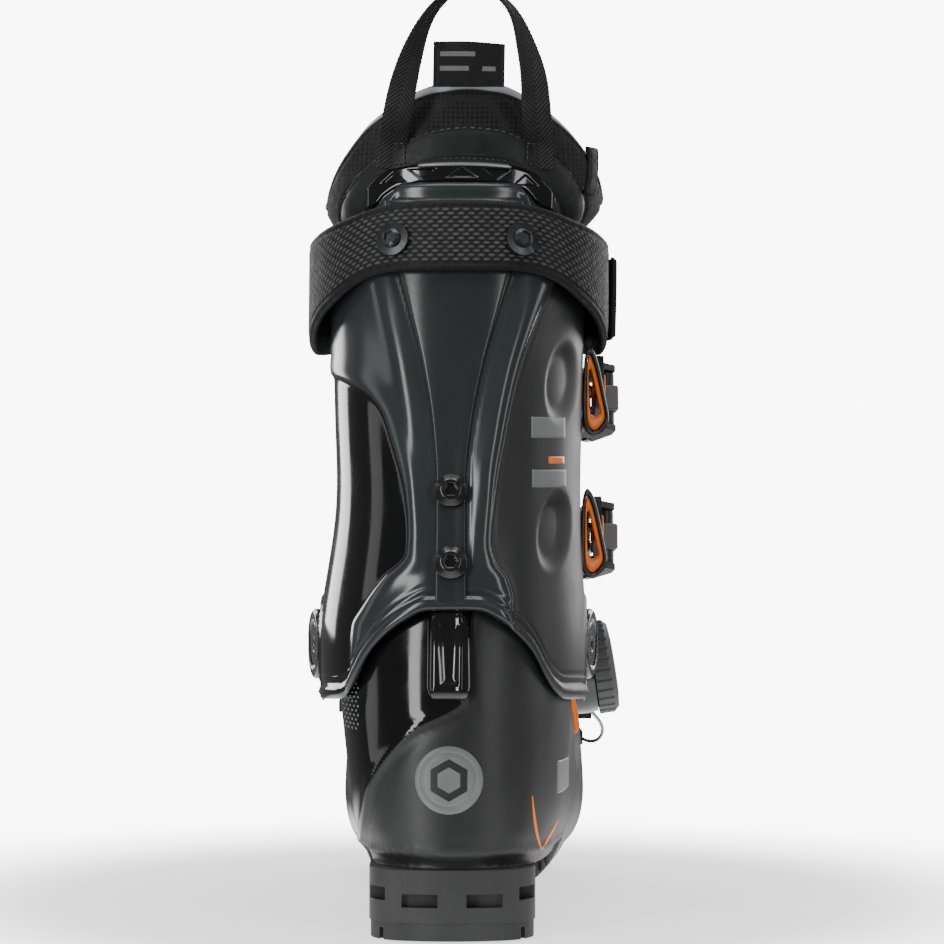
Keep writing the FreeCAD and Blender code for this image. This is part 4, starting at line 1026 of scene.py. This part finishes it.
def make_liner():
    angle = liner_columns()
    share = np.linspace(0, 1, 150)
    low = np.full(angle.shape, LINER_FOOT_TOP)
    top = np.full(angle.shape, 340.0)
    for _ in range(8):
        top = liner_top(ring_points(LINER_ROWS, top, angle))
    z = low[:, None] + (top - low)[:, None] * share[None, :]
    turn = np.broadcast_to(angle[:, None], z.shape)
    outer = ring_points(LINER_ROWS, z, turn)
    normal = open_normals(outer, 1, -1, (LINER_TURNS // 2, 60))
    below, stitched, band, relief = liner_zones(outer, top[:, None])
    # keep clear of the cuff below its rim
    relief = np.where(z < 304, np.minimum(relief, 0.0) - 0.3, relief)
    outside = outer + normal * relief[..., None]
    inner_z = z[:, ::-4]
    inside = ring_points(LINER_ROWS, inner_z, turn[:, ::-4], -LINER_WALL)
    crown = ring_points(LINER_ROWS, top[:, None] + 1.3, angle[:, None], -LINER_WALL / 2)
    loop = np.concatenate([outside, crown, inside], axis=1)
    item = grid_object("liner_shaft", loop, caps=True)
    spare = np.zeros((LINER_TURNS, inside.shape[1] + 1))
    for name, values in (("below_edge", below), ("stitched", stitched), ("band", band),
                         ("outside", np.ones_like(below))):
        store(item, name, np.concatenate([values, spare], axis=1))
    finish_piece(item, "cuff", "liner_fabric", "liner_cuff")
    return item


def liner_material():
    """Grey lining and rim, a black mesh band, and smooth synthetic leather below it."""
    made = Shader("liner_shaft", (0.02, 0.02, 0.021), 0.7, sheen=0.03, specular=0.3)
    outside = made.attribute("outside")
    below = made.attribute("below_edge")
    rim = made.step(below, 2.6, 3.4, 1, 0)
    smooth = made.step(made.attribute("stitched"), -0.4, 0.4)
    cells = made.add("TexVoronoi", "Distance", {"Scale": 480, "Randomness": 0.15, "Vector": made.where},
                     feature="DISTANCE_TO_EDGE")
    holes = made.step(cells, 0.1, 0.28)
    cloud = made.cloud(60, 4)
    mesh_colour = made.mix(holes, (0.016, 0.016, 0.0165), (0.003, 0.003, 0.0032))
    smooth_colour = made.mix(cloud, (0.008, 0.0085, 0.009), (0.013, 0.0135, 0.014))
    colour = made.mix(smooth, mesh_colour, smooth_colour)
    panel = made.step(made.attribute("band"), -0.4, 0.4)
    colour = made.mix(panel, colour, made.mix(cloud, (0.014, 0.016, 0.016), (0.019, 0.021, 0.021)))
    colour = made.mix(rim, colour, (0.34, 0.35, 0.36))
    lining = made.mix(made.cloud(250, 4), (0.05, 0.051, 0.053), (0.12, 0.122, 0.125))
    made.feed("Base Color", made.mix(outside, lining, colour))
    rough = made.cloud(200, 4, 0.62, 0.85)
    made.feed("Roughness", made.maths("SUBTRACT", rough, made.times(smooth, 0.22)))
    mesh_bump = made.times(holes, made.maths("SUBTRACT", 1.0, smooth))
    made.bump(mesh_bump, -0.8, 0.0006)
    made.bump(made.noise(900, 3), 0.25, 0.0003)
    return made


wear(make_liner(), liner_material())


TONGUE_MEDIAL, TONGUE_LATERAL = -24.0, 30.0
TONGUE_LOW, TONGUE_HIGH = 187, 351


def make_tongue():
    """The padded tongue in the shaft's open front, crowned, with five sewn channels across."""
    columns = np.linspace(TONGUE_MEDIAL, TONGUE_LATERAL, 70)
    zz, xx = np.meshgrid(np.linspace(TONGUE_LOW, TONGUE_HIGH, 150), columns, indexing="ij")
    edge = least(xx - TONGUE_MEDIAL, TONGUE_LATERAL - xx, zz - TONGUE_LOW, (TONGUE_HIGH - zz) * 0.8)
    soft = rounded(edge / 5.0)
    crease = sum(groove(zz - at, 1.3) for at in (212, 236, 262, 290, 318))
    swell = soft * (1 - 0.22 * crease)
    thick = 0.9 + 4.1 * swell
    y_mid = ring_side(LINER_ROWS, xx, zz, 1, inset=5.4)
    front = np.stack([xx, y_mid + thick, zz], axis=-1)
    back = np.stack([xx, y_mid - thick * 0.9, zz], axis=-1)
    item = slab_object("liner_tongue", front, back)
    finish_piece(item, "cuff", "liner_fabric", "tongue")
    return item


wear(make_tongue(), liner_black)


def make_liner_foot():
    """The sock of the liner inside the shell, a smooth closed wall with a rounded top edge."""
    angle = np.linspace(0, 2 * math.pi, 160, endpoint=False)
    outer = foot_grid(np.linspace(0.04, 1, 110), angle, -6.2)
    inner = foot_grid(np.linspace(1, 0.12, 70), angle, -13.0)
    for grid, lift in ((outer, 5.2), (inner, 11.0)):
        floor = TOE_LEDGE + 5 + (HEEL_LEDGE - TOE_LEDGE) * np.clip((100 - grid[..., 1]) / 180, 0, 1) + lift
        grid[..., 2] = np.clip(np.maximum(grid[..., 2], floor), None, 160.2)
    item = grid_object("liner_sock", np.concatenate([outer, inner]), caps=True)
    finish_piece(item, "lower_boot", "liner_fabric", "liner_foot")
    return item


wear(make_liner_foot(), lining_grey)


# ---------------------------------------------------------------- trims on the back of the liner
def on_liner(x, z, lift):
    """A place on the liner's back seen from behind, lifted off it."""
    return np.stack([x, ring_side(LINER_ROWS, x, z, -1, lift), z], axis=-1)


def trim_strip(name, top_line, low_line, left, right, thick, dents=()):
    """A moulded strip on the liner's back between two (x, z) lines, with sunken triangles."""
    columns = np.linspace(left, right, 220)
    share = np.linspace(0, 1, 44)
    top = gentle(top_line, columns)
    low = gentle(low_line, columns)
    z = low[None, :] + (top - low)[None, :] * share[:, None]
    x = np.broadcast_to(columns, z.shape)
    edge = least(z - low, top - z, (x - left) * 0.7, (right - x) * 0.7)
    height = 0.5 + thick * rise(edge, 0, 2.0)
    for centre, half, up in dents:
        middle_z = (gentle(top_line, np.array(centre)) + gentle(low_line, np.array(centre))) / 2
        v = (z - middle_z) * up
        inside = np.minimum(v + 2.4, (2.9 - v) * half / 5.2 - np.abs(x - centre))
        height = height - 0.9 * rise(inside, 0, 0.8)
    return slab_object(name, on_liner(x, z, 0.0) + backward(x, z) * height[..., None],
                       on_liner(x, z, 0.0) - backward(x, z) * 0.5)


def backward(x, z):
    """Outward directions of the liner's back."""
    step = 0.4
    across = on_liner(x + step, z, 0.0) - on_liner(x - step, z, 0.0)
    up = on_liner(x, z + step, 0.0) - on_liner(x, z - step, 0.0)
    normal = np.cross(across, up)
    normal /= np.linalg.norm(normal, axis=-1, keepdims=True)
    return normal * np.where(normal[..., 1:2] > 0, -1.0, 1.0)


STRIP_TOP = ((-40, 312), (-36.5, 319), (-32, 324.3), (-26, 326.9), (-14, 328.2), (4, 328.6), (22, 327.8),
             (34, 325), (41, 319.5), (46, 311))
STRIP_LOW = ((-40, 308), (-34, 309), (-29, 314), (-22, 317.6), (-10, 318.8), (4, 319.2), (18, 318.6),
             (30, 316), (38, 309), (46, 307))
PIPING_TOP = ((-47, 316), (-41, 325), (-33, 329.4), (-14, 332.2), (4, 332.8), (22, 332), (38, 328.2),
              (47, 322.5), (54, 313))
PIPING_LOW = tuple((x, z - 1.7) for x, z in PIPING_TOP)
TRIANGLES = ((-25, 6.0, 1), (-13, 6.5, -1), (4, 7.5, 1), (19, 6.5, -1), (31, 5.5, 1))

strip = trim_strip("liner_gloss_strip", STRIP_TOP, STRIP_LOW, -38.5, 44.5, 1.0, TRIANGLES)
wear(finish_piece(strip, "cuff", "gloss_black"), gloss_black)
piping = trim_strip("liner_piping", PIPING_TOP, PIPING_LOW, -46, 53, 0.9)
wear(finish_piece(piping, "cuff", "gloss_black"), nylon_black)


def stitch_row(name, points, gap=3.4, long=2.3, radius=0.42):
    """A row of separate stitches lying along points on a surface, each a small rounded bar."""
    points = np.asarray(points, float)
    step = np.linalg.norm(np.diff(points, axis=0), axis=1)
    at = np.concatenate([[0], np.cumsum(step)])
    verts, faces = [], []
    for start in np.arange(gap * 0.5, at[-1] - long, gap):
        spine = [np.array([np.interp(start + long * t, at, points[:, i]) for i in range(3)])
                 for t in (0, 0.3, 0.7, 1)]
        along = spine[-1] - spine[0]
        along /= np.linalg.norm(along)
        side = np.cross(along, (0, 0, 1.0) if abs(along[2]) < 0.9 else (1.0, 0, 0))
        side /= np.linalg.norm(side)
        up = np.cross(side, along)
        add_rings(verts, faces, [[spot + radius * size * (side * math.cos(around) + up * math.sin(around))
                                  for around in np.arange(6) * math.pi / 3]
                                 for spot, size in zip(spine, (0.45, 1.0, 1.0, 0.45))])
    item = add_object(name, np.array(verts), faces)
    return wear(finish_piece(item, "cuff", "strap_web"), thread_grey)


def liner_line(below, x):
    """Points on the liner's back at a depth below its edge."""
    return on_liner(x, gentle(ARCH, x) - below, 0.25)


stitch_row("liner_stitches_upper", liner_line(20.0, np.linspace(-50, 60, 200)))
strip_x = np.linspace(-44, 51, 160)
strip_line = on_liner(strip_x, gentle(PIPING_LOW, strip_x) - 0.9, 0.3)
stitch_row("liner_stitches_strip", strip_line, 2.6, 1.7, 0.3)
for side, left, right in (("medial", -57.0, -47.5), ("lateral", 54.5, 67.0)):
    stitch_row("liner_stitches_panel_" + side, liner_line(35.5, np.linspace(left, right, 60)), 2.8, 1.8, 0.3)


# ---------------------------------------------------------------- pull loop and label
LOOP_ROUTE = ((-27, -102.2, 326), (-25.5, -103.4, 338), (-23.5, -104.4, 350), (-20.5, -104.6, 364),
              (-15.5, -104.2, 380), (-8, -104, 394), (1, -104, 401.5), (8.4, -104, 403.4),
              (16, -104, 401.5), (25, -104, 394), (31, -104.2, 380), (34.8, -104.4, 364), (36, -103.6, 350),
              (37.2, -102, 338), (37.2, -100, 326))
LOOP_WIDTH = ((0.0, 12.5), (0.12, 12.5), (0.26, 11.0), (0.38, 9.0), (0.5, 9.0), (0.62, 9.0), (0.74, 11.0),
              (0.88, 12.5), (1.0, 12.5))
LOOP_TWIST = ((0.0, 0.0), (0.12, 0.0), (0.28, -34.0), (0.42, -74.0), (0.5, -88.0), (0.58, -74.0),
              (0.72, -34.0), (0.88, 0.0), (1.0, 0.0))


LOOP_STEPS = 320


def make_pull_loop():
    """Flat webbing whose two ends are sewn flat to the liner and which turns on edge at the top."""
    route = np.array(LOOP_ROUTE, float)
    at = np.concatenate([[0], np.cumsum(np.linalg.norm(np.diff(route, axis=0), axis=1))])
    share = np.linspace(0, 1, LOOP_STEPS)
    middle = natural_cubic(at / at[-1], route, share)
    sewn = 1 - rise(middle[:, 2], 334, 352)
    seat = on_liner(middle[:, 0], np.minimum(middle[:, 2], 340), 1.0)
    middle[:, 1] += (seat[:, 1] - middle[:, 1]) * sewn
    along = np.gradient(middle, axis=0)
    along /= np.linalg.norm(along, axis=1, keepdims=True)
    flat = np.cross(along, (0, -1.0, 0))
    flat /= np.linalg.norm(flat, axis=1, keepdims=True)
    face = np.cross(flat, along)
    twist = np.radians(gentle(LOOP_TWIST, share))
    mirror = np.where(share < 0.5, 1, -1)
    wide = flat * np.cos(twist)[:, None] + face * (np.sin(twist) * mirror)[:, None]
    out = np.cross(wide, along)
    half = gentle(LOOP_WIDTH, share) / 2
    offsets = np.linspace(-1, 1, 25)
    along_mm = np.linspace(0, at[-1], LOOP_STEPS)
    twill = np.sin(2 * math.pi * (along_mm[:, None] / 1.9 + np.abs(offsets)[None, :] * 3.2))
    groove_line = -0.25 * groove(offsets * 6.0, 1.0)
    lift = 0.75 - 0.35 * np.abs(offsets)[None, :] ** 8 + 0.16 * twill + groove_line
    centre = middle[:, None, :] + wide[:, None, :] * (offsets[None, :] * half[:, None])[..., None]
    front = centre + out[:, None, :] * lift[..., None]
    rear = centre - out[:, None, :] * lift[..., None]
    item = slab_object("pull_loop_webbing", front, rear)
    # the twill height is stored so that the material paints a highlight on the raised twill
    store(item, "thread_highlight", np.tile((0.5 + 0.5 * twill).ravel(), 2))
    return finish_piece(item, "cuff", "strap_web", "pull_loop")


# the second colour is the painted highlight on the loop's raised twill
wear(make_pull_loop(), webbing_material("pull_loop_webbing", (0.005, 0.005, 0.0053), (0.045, 0.046, 0.047)))
for name, x in (("loop_box_stitch_medial", -26.2), ("loop_box_stitch_lateral", 37.2)):
    corners = ((x - 5, 328), (x + 5, 328), (x + 5, 337), (x - 5, 337), (x - 5, 328))
    path = np.concatenate([np.linspace(a, b, 12, endpoint=False) for a, b in zip(corners, corners[1:])])
    stitch_row(name, on_liner(path[:, 0], path[:, 1], 2.0), 2.4, 1.6, 0.36)


def make_label():
    """A plain folded cloth label standing on the liner's edge, slightly curled."""
    vv, uu = np.meshgrid(np.linspace(0, 1, 48), np.linspace(0, 1, 60), indexing="ij")
    x = -8.6 + 30.8 * uu + 0.4 * vv
    z = 360.5 + 19.5 * vv - 1.2 * uu * vv + 0.5 * np.sin(math.pi * uu) * vv
    y = -102.6 - 0.5 * np.sin(math.pi * uu) * vv + 0.35 * np.sin(3 * math.pi * uu) * vv ** 2
    middle = np.stack([x, y, z], axis=-1)
    thick = 0.55 - 0.2 * groove(vv - 0.98, 0.02)
    edge = np.minimum(np.minimum(uu, 1 - uu) * 30, (1 - vv) * 23)
    thick = thick - 0.2 * groove(edge - 1.4, 0.35)
    offset = np.stack([0 * thick, thick, 0 * thick], axis=-1)
    item = slab_object("liner_label", middle - offset, middle + offset)
    bars = [((uu > start) & (uu < stop) & (np.abs(vv - height) < 0.05)).astype(float)
            for start, stop, height in ((0.1, 0.58, 0.72), (0.1, 0.5, 0.4), (0.68, 0.88, 0.4))]
    store(item, "print_bars", np.concatenate([sum(bars).ravel(), np.zeros(bars[0].size)]))
    return finish_piece(item, "cuff", "label_fabric", "label_tab")


def label_material():
    """Black satin with plain woven bars."""
    made = Shader("liner_label", (0.004, 0.004, 0.0043), 0.5, sheen=0.03, specular=0.3)
    bars = made.step(made.attribute("print_bars"), 0.3, 0.7)
    threads = made.noise(1400, 2, 0.5, (1, 1, 3))
    black = made.mix(threads, (0.003, 0.003, 0.0032), (0.008, 0.008, 0.0085))
    grey = made.mix(threads, (0.10, 0.10, 0.105), (0.2, 0.2, 0.205))
    made.feed("Base Color", made.mix(bars, black, grey))
    made.feed("Roughness", made.cloud(300, 3, 0.42, 0.6))
    made.bump(threads, 0.3, 0.0002)
    return made


wear(make_label(), label_material())


# ================================================================ spine cap, flap, lace and prints
CAP_LOW = 100.0
CAP_MIDDLE = -1.0


def make_spine_cap():
    """Gloss cap below the hem: a rounded tongue with one long hollow down its middle."""
    zz, uu = np.meshgrid(np.linspace(CAP_LOW, 139.4, 90), np.linspace(-1, 1, 64), indexing="ij")
    low = rounded((zz - CAP_LOW) / 6.5)
    half = (9.5 - 0.5 * (zz - CAP_LOW) / 40) * (0.55 + 0.45 * low)
    x = CAP_MIDDLE + uu * half
    stand = 4.9 - 2.2 * rise(zz, 116, 139)
    corner = rounded((1 - np.abs(uu)) * 9.4 / 3.4)
    body = stand * np.minimum(corner, 0.15 + 0.85 * low)
    outer_edge = 6.6 - 0.055 * (134 - zz)
    recess = least(outer_edge - np.abs(x - CAP_MIDDLE), zz - 105, 134 - zz)
    body = body - 1.7 * rise(recess, -0.2, 4.5)
    shell_y = from_behind(shell_tree, x, zz)[0][..., 1]
    front = np.stack([x, shell_y - 0.25 - body, zz], axis=-1)
    back = np.stack([x, shell_y + 0.8, zz], axis=-1)
    item = slab_object("spine_cap_moulding", front, back)
    return finish_piece(item, "lower_boot", "gloss_black", "spine_cap")


wear(make_spine_cap(), gloss_black)


def make_flap():
    """The overlapping instep flap, thick at its free lateral edge, with three moulded steps."""
    probe = np.linspace(0.2, 0.9, 400)
    top_y = foot_grid(probe, np.array([0.0]))[:, 0, 1]
    start = probe[np.argmin(np.abs(top_y - 103))]
    stop = probe[np.argmin(np.abs(top_y - 29))]
    share = np.linspace(start, stop, 150)
    angle = np.radians(np.linspace(-33, 44, 120))
    grid = foot_grid(share, angle)
    normal = open_normals(grid, 2, 1)
    v, u = np.meshgrid(np.linspace(0, 1, 150), np.linspace(0, 1, 120), indexing="ij")
    edge = least(u * 62, (1 - u) * 62, v * 85, (1 - v) * 85)
    height = 3.7 * rounded(edge / 2.6)
    height -= 0.7 * groove(edge - 5.0, 0.7)
    for at in (0.28, 0.52, 0.76):
        height -= 0.8 * groove((v - at - 0.05 * np.cos((u - 0.5) * math.pi)) * 85, 1.0) * rise(edge, 5.5, 7)
    outside = grid + normal * (0.15 + height)[..., None]
    item = slab_object("instep_flap_moulding", outside, grid - normal * 0.4)
    return finish_piece(item, "lower_boot", "gloss_black", "instep_flap")


flap_finish = moulded("instep_flap_moulding", (0.012, 0.0125, 0.013), 0.3, grain=900, bump=0.06, coat=0.2)
wear(make_flap(), flap_finish)

DIAL_TILT = math.radians(9)
DIAL_AXIS = np.array([math.cos(DIAL_TILT), 0, math.sin(DIAL_TILT)])
DIAL_SEAT = np.array([55.0, 8.0, 103.0])
LACE_LIFT = 6.6
LACE_TURNS = np.radians((62, 50, 38, 26, 14, 2, -10, -22, -34, -46, -58))


def instep_line(place):
    low = int(place)
    first, second = (foot_section(FOOT_ROWS[row], LACE_TURNS, LACE_LIFT) for row in (low, low + 1))
    return first + (second - first) * (place - low)


def tube(name, points, radius, sides=12, strands=0, lay=6.0, count=900):
    """A round bar along points; strands twist round it where given."""
    step = np.linalg.norm(np.diff(points, axis=0), axis=1)
    at = np.concatenate([[0], np.cumsum(step)])
    line = natural_cubic(at, points, np.linspace(0, at[-1], count))
    along = np.gradient(line, axis=0)
    along /= np.linalg.norm(along, axis=1, keepdims=True)
    side = np.cross(along[0], (0, 1, 0.2))
    rings = []
    for index in range(count):
        side = side - along[index] * np.dot(side, along[index])
        side = side / np.linalg.norm(side)
        other = np.cross(along[index], side)
        turn = np.linspace(0, 2 * math.pi, sides, endpoint=False)
        twist = 2 * math.pi * index / count * at[-1] / lay
        size = radius * (1 + (0.12 * np.cos(strands * (turn - twist)) if strands else 0))
        rings.append(line[index] + (np.cos(turn) * size)[:, None] * side
                     + (np.sin(turn) * size)[:, None] * other)
    return grid_object(name, np.array(rings), caps=True)


def make_lace():
    front_run = instep_line(3.3)
    rear_run = instep_line(4.25)
    seat = DIAL_SEAT + DIAL_AXIS * 3
    route = [seat + (0, 14, -15.2), np.array([70.0, 48, 74])] + list(front_run)
    route += [(front_run[-1] + rear_run[-1]) / 2] + list(rear_run[::-1]) + [seat + (0, 20.6, -4)]
    item = tube("dial_lace_cable", np.array(route), 0.78, strands=6)
    return finish_piece(item, "lower_boot", "lace_steel", "dial_lace")


wear(make_lace(), lace_metal)


def print_bar(name, left, right, low, high, slot, finish, tree=None, body="cuff", lean=0.0):
    """A flat printed block laid on the boot's back."""
    columns = max(6, int((right - left) / 0.7))
    rows = max(6, int((high - low) / 0.7))
    x, z = np.meshgrid(np.linspace(left, right, columns), np.linspace(low, high, rows))
    item = draped(name, tree or cuff_tree, x + lean * (z - low), z, 0.16, 0.5)
    finish_piece(item, body, slot)
    return wear(item, finish)


print_grey = moulded("print_grey", (0.17, 0.175, 0.175), 0.45, grain=1300, bump=0.08, worn=0.1)
print_bar("cuff_bar_upper", 33.5, 48.5, 209.5, 218.5, "inlay_grey", print_grey)
print_bar("cuff_bar_lower", 33.8, 48.8, 188.5, 196.0, "inlay_grey", print_grey)
print_bar("cuff_bar_small", 41.0, 48.0, 198.6, 201.6, "accent_orange", orange_gloss)


def make_dots():
    """A patch of small raised grip dots on the medial side of the lower shell."""
    row, column = np.indices((11, 6))
    places, normals = from_behind(shell_tree, -49.5 + column * 1.75 + 0.85 * (row % 2), 86.5 + row * 1.9)
    verts, faces = [], []
    for hit, normal in zip(places.reshape(-1, 3), normals.reshape(-1, 3)):
        if not normal[1] <= -0.12:
            continue
        side = np.cross(normal, (0, 0, 1.0))
        side /= np.linalg.norm(side)
        up = np.cross(side, normal)
        circle = [side * math.cos(around) + up * math.sin(around) for around in np.arange(10) * math.pi / 5]
        add_rings(verts, faces, [[hit + normal * lift + spoke * radius for spoke in circle]
                                 for lift, radius in ((-0.3, 0.55), (0.1, 0.55), (0.3, 0.34))])
    item = add_object("shell_grip_dots", np.array(verts), faces)
    return finish_piece(item, "lower_boot", "gloss_black")


wear(make_dots(), print_grey)


# ================================================================ hardware from the frame
body_of_node = {node: body for body, members in frame["record"]["behaviour"]["bodies"].items()
                for node in members}
slot_of_node = {part["node"]: part["material_slot"] for part in frame["record"]["subparts"]}


def refine(node, finish, bevel=0.35, angle=32.0):
    """A copy of a CAD node with merged points, clean flats and rounded edges."""
    work = bmesh.new()
    work.from_mesh(nodes[node].data)
    bmesh.ops.remove_doubles(work, verts=work.verts, dist=2e-6)
    bmesh.ops.dissolve_limit(work, angle_limit=math.radians(1.0), verts=work.verts, edges=work.edges)
    mesh = bpy.data.meshes.new(node + "_finished")
    work.to_mesh(mesh)
    work.free()
    mesh.shade_smooth()
    item = bpy.data.objects.new(node + "_finished", mesh)
    scene.collection.objects.link(item)
    edge = item.modifiers.new("edge", "BEVEL")
    edge.width = bevel * MM
    edge.segments = 2
    edge.limit_method = "ANGLE"
    edge.angle_limit = math.radians(angle)
    even = item.modifiers.new("even", "WEIGHTED_NORMAL")
    even.keep_sharp = False
    finish_piece(item, body_of_node[node], slot_of_node[node], node)
    return wear(item, finish)


FINISHES = (
    (sole_rubber, 0.9, ("heel_block", "toe_block")),
    (tread_rubber, 0.5, ("heel_pad", "toe_pad")),
    (plain_steel, 0.2, ("sole_screws", "rear_nuts", "pivot_nuts", "upper_hinge_pin", "lower_hinge_pin")),
    (bolt_black, 0.4, ("rear_bolts", "pivot_bolt_medial", "pivot_bolt_lateral", "upper_rivets",
                       "lower_rivets")),
    (stud_metal, 0.3, ("strap_studs",)),
    (buckle_black, 0.5, ("upper_lever", "lower_lever", "upper_buckle_base", "lower_buckle_base",
                         "upper_ladder", "lower_ladder")),
    (buckle_black, 0.3, ("upper_adjuster_barrel", "lower_adjuster_barrel", "upper_bail", "lower_bail")),
    (block_grey, 0.4, ("upper_adjuster_block", "lower_adjuster_block")),
    (orange_gloss, 0.35, ("upper_finger_liner", "lower_finger_liner")),
    (gloss_black, 0.5, ("dial_base",)),
    (nylon_black, 0.4, ("dial_spool", "lace_guides")),
    (dial_rubber, 0.4, ("dial_knob",)),
    (board_plastic, 0.3, ("boot_board",)),
    (footbed_felt, 0.5, ("footbed",)),
)
for finish, bevel, members in FINISHES:
    for node in members:
        refine(node, finish, bevel)


def tilt_disc(node, lean=0.2):
    """Slope a pivot disc so that its face follows the cuff's wall, which closes in towards the heel."""
    item = bpy.data.objects[node + "_finished"]
    for vertex in item.data.vertices:
        x, y, _ = vertex.co / MM
        inward = lean * (PIVOT[0] + 14 - y) * float(rise(np.array(abs(x)), 50, 56))
        vertex.co.x -= math.copysign(inward * MM, x)


tilt_disc("pivot_bolt_medial")
tilt_disc("pivot_bolt_lateral")


# ---------------------------------------------------------------- lever loops, dial tabs, side tag
LOOP_OUTER = ((-2.5, 20), (0.6, 17), (3.2, 8), (5.6, -4), (6.8, -12), (4.5, -17), (0.5, -19.5),
              (-3.5, -17.5), (-5, -10), (-4.8, 3), (-4.4, 14))
LOOP_MIDDLE = ((-2.3, 16.5), (-0.6, 14), (1.6, 6), (3.8, -4), (4.9, -11), (3.2, -14.8), (0.4, -17),
               (-2.3, -15.2), (-3.4, -9), (-3.3, 3), (-3.1, 12))
LOOP_INNER = ((-2.1, 10), (-1.1, 9), (0.2, 3), (2.0, -5), (2.8, -8.5), (1.6, -10), (0, -10.8), (-1.2, -10),
              (-2.0, -7), (-2.3, 1), (-2.4, 7))


def closed_curve(points, count=120):
    """A smooth closed line through a ring of points."""
    ring = np.array(points * 3, float)
    size = len(points)
    return natural_cubic(np.arange(len(ring)), ring, np.linspace(size, 2 * size, count, endpoint=False))


def ring_bar(name, outer, inner, middle, y_place, depth, lean):
    """A rounded flat ring between two closed outlines, standing across the boot."""
    big = closed_curve(outer)
    small = closed_curve(inner)
    rows = []
    for turn in np.linspace(0, 2 * math.pi, 16, endpoint=False):
        across = 0.5 + 0.5 * float(power(np.cos(turn), 3.0))
        out = 0.5 * depth * float(power(np.sin(turn), 3.0))
        flat = small + (big - small) * across
        x = middle[0] + flat[:, 0]
        z = middle[1] + flat[:, 1]
        rows.append(np.stack([x, y_place - out + lean * (x - middle[0]), z], axis=-1))
    return grid_object(name, np.array(rows), closed_rows=True)


for name, middle, rear in (("upper", (62.5, 230.5), -51.5), ("lower", (61.5, 167.5), -55.8)):
    body = body_of_node[name + "_lever"]
    black_loop = ring_bar(name + "_lever_loop", LOOP_OUTER, LOOP_MIDDLE, middle, rear, 5.0, 0.35)
    wear(finish_piece(black_loop, body, "buckle_black"), buckle_black)
    orange_loop = ring_bar(name + "_lever_lining", LOOP_MIDDLE, LOOP_INNER, middle, rear - 0.5, 3.4, 0.35)
    wear(finish_piece(orange_loop, body, "accent_orange"), orange_gloss)


def make_dial_tab():
    """A small coloured release tab under the rear edge of the dial's base."""
    rows, columns = 30, 12
    z, y = np.meshgrid(np.linspace(76, 98, rows), np.linspace(-22, -17, columns), indexing="ij")
    places, normals = meet(shell_tree, np.stack([np.full_like(y, 300), y, z], axis=-1), (-1, 0, 0))
    r, c = np.indices((rows, columns))
    lift = 0.6 + 2.4 * least(np.ones_like(y), r / 4, (rows - 1 - r) / 4, c / 3, (columns - 1 - c) / 3) ** 0.5
    item = slab_object("dial_release_tab", places + normals * lift[..., None], places - normals * 0.3)
    return finish_piece(item, "lower_boot", "accent_orange")


wear(make_dial_tab(), orange_gloss)


TAG_LOW, TAG_HIGH = 317, 338


def make_side_tag():
    """A plain folded tag sewn into the liner's lateral side."""
    turn = np.radians(np.linspace(-36, -27, 24))
    zz, tt = np.meshgrid(np.linspace(TAG_LOW, TAG_HIGH, 40), turn, indexing="ij")
    edge = least(zz - TAG_LOW, TAG_HIGH - zz, (tt - turn[0]) * 60, (turn[-1] - tt) * 60)
    body = 0.9 + 0.7 * rise(edge, 0, 0.8) - 0.25 * groove(edge - 1.8, 0.3)
    surface = ring_points(LINER_ROWS, zz, tt)
    normal = open_normals(surface, 0, 1)
    item = slab_object("liner_side_tag", surface + normal * body[..., None], surface - normal * 0.3)
    return finish_piece(item, "cuff", "label_fabric")


wear(make_side_tag(), label_cloth)
print_bar("shell_side_bar", 44.5, 50.5, 58.0, 72.0, "inlay_grey", print_grey, shell_tree, "lower_boot")

# ================================================================ floor
floor_mesh = bpy.data.meshes.new("floor")
FLOOR_RADIUS = 0.42
FLOOR_SIDES = 96
FLOOR_DROP = 0.0004      # keeps the floor just under the soles
rim = [(FLOOR_RADIUS * math.cos(turn), FLOOR_RADIUS * math.sin(turn), -FLOOR_DROP)
       for turn in np.arange(FLOOR_SIDES) * 2 * math.pi / FLOOR_SIDES]
floor_mesh.from_pydata(rim, [], [list(range(FLOOR_SIDES))])
floor = bpy.data.objects.new("floor", floor_mesh)
scene.collection.objects.link(floor)
floor_finish = Shader("floor", (0.8, 0.8, 0.8), 0.9)
floor_finish.set("Emission Color", (1, 1, 1, 1))
floor_finish.set("Emission Strength", 1.1)
radius = floor_finish.add("VectorMath", "Value", {0: floor_finish.where}, operation="LENGTH")
floor_finish.feed("Alpha", floor_finish.step(radius, 0.17, FLOOR_RADIUS - 0.02, 1, 0))
floor_finish.feed("Base Color", floor_finish.mix(floor_finish.cloud(3, 3), (0.79,) * 3, (0.81,) * 3))
wear(floor, floor_finish)
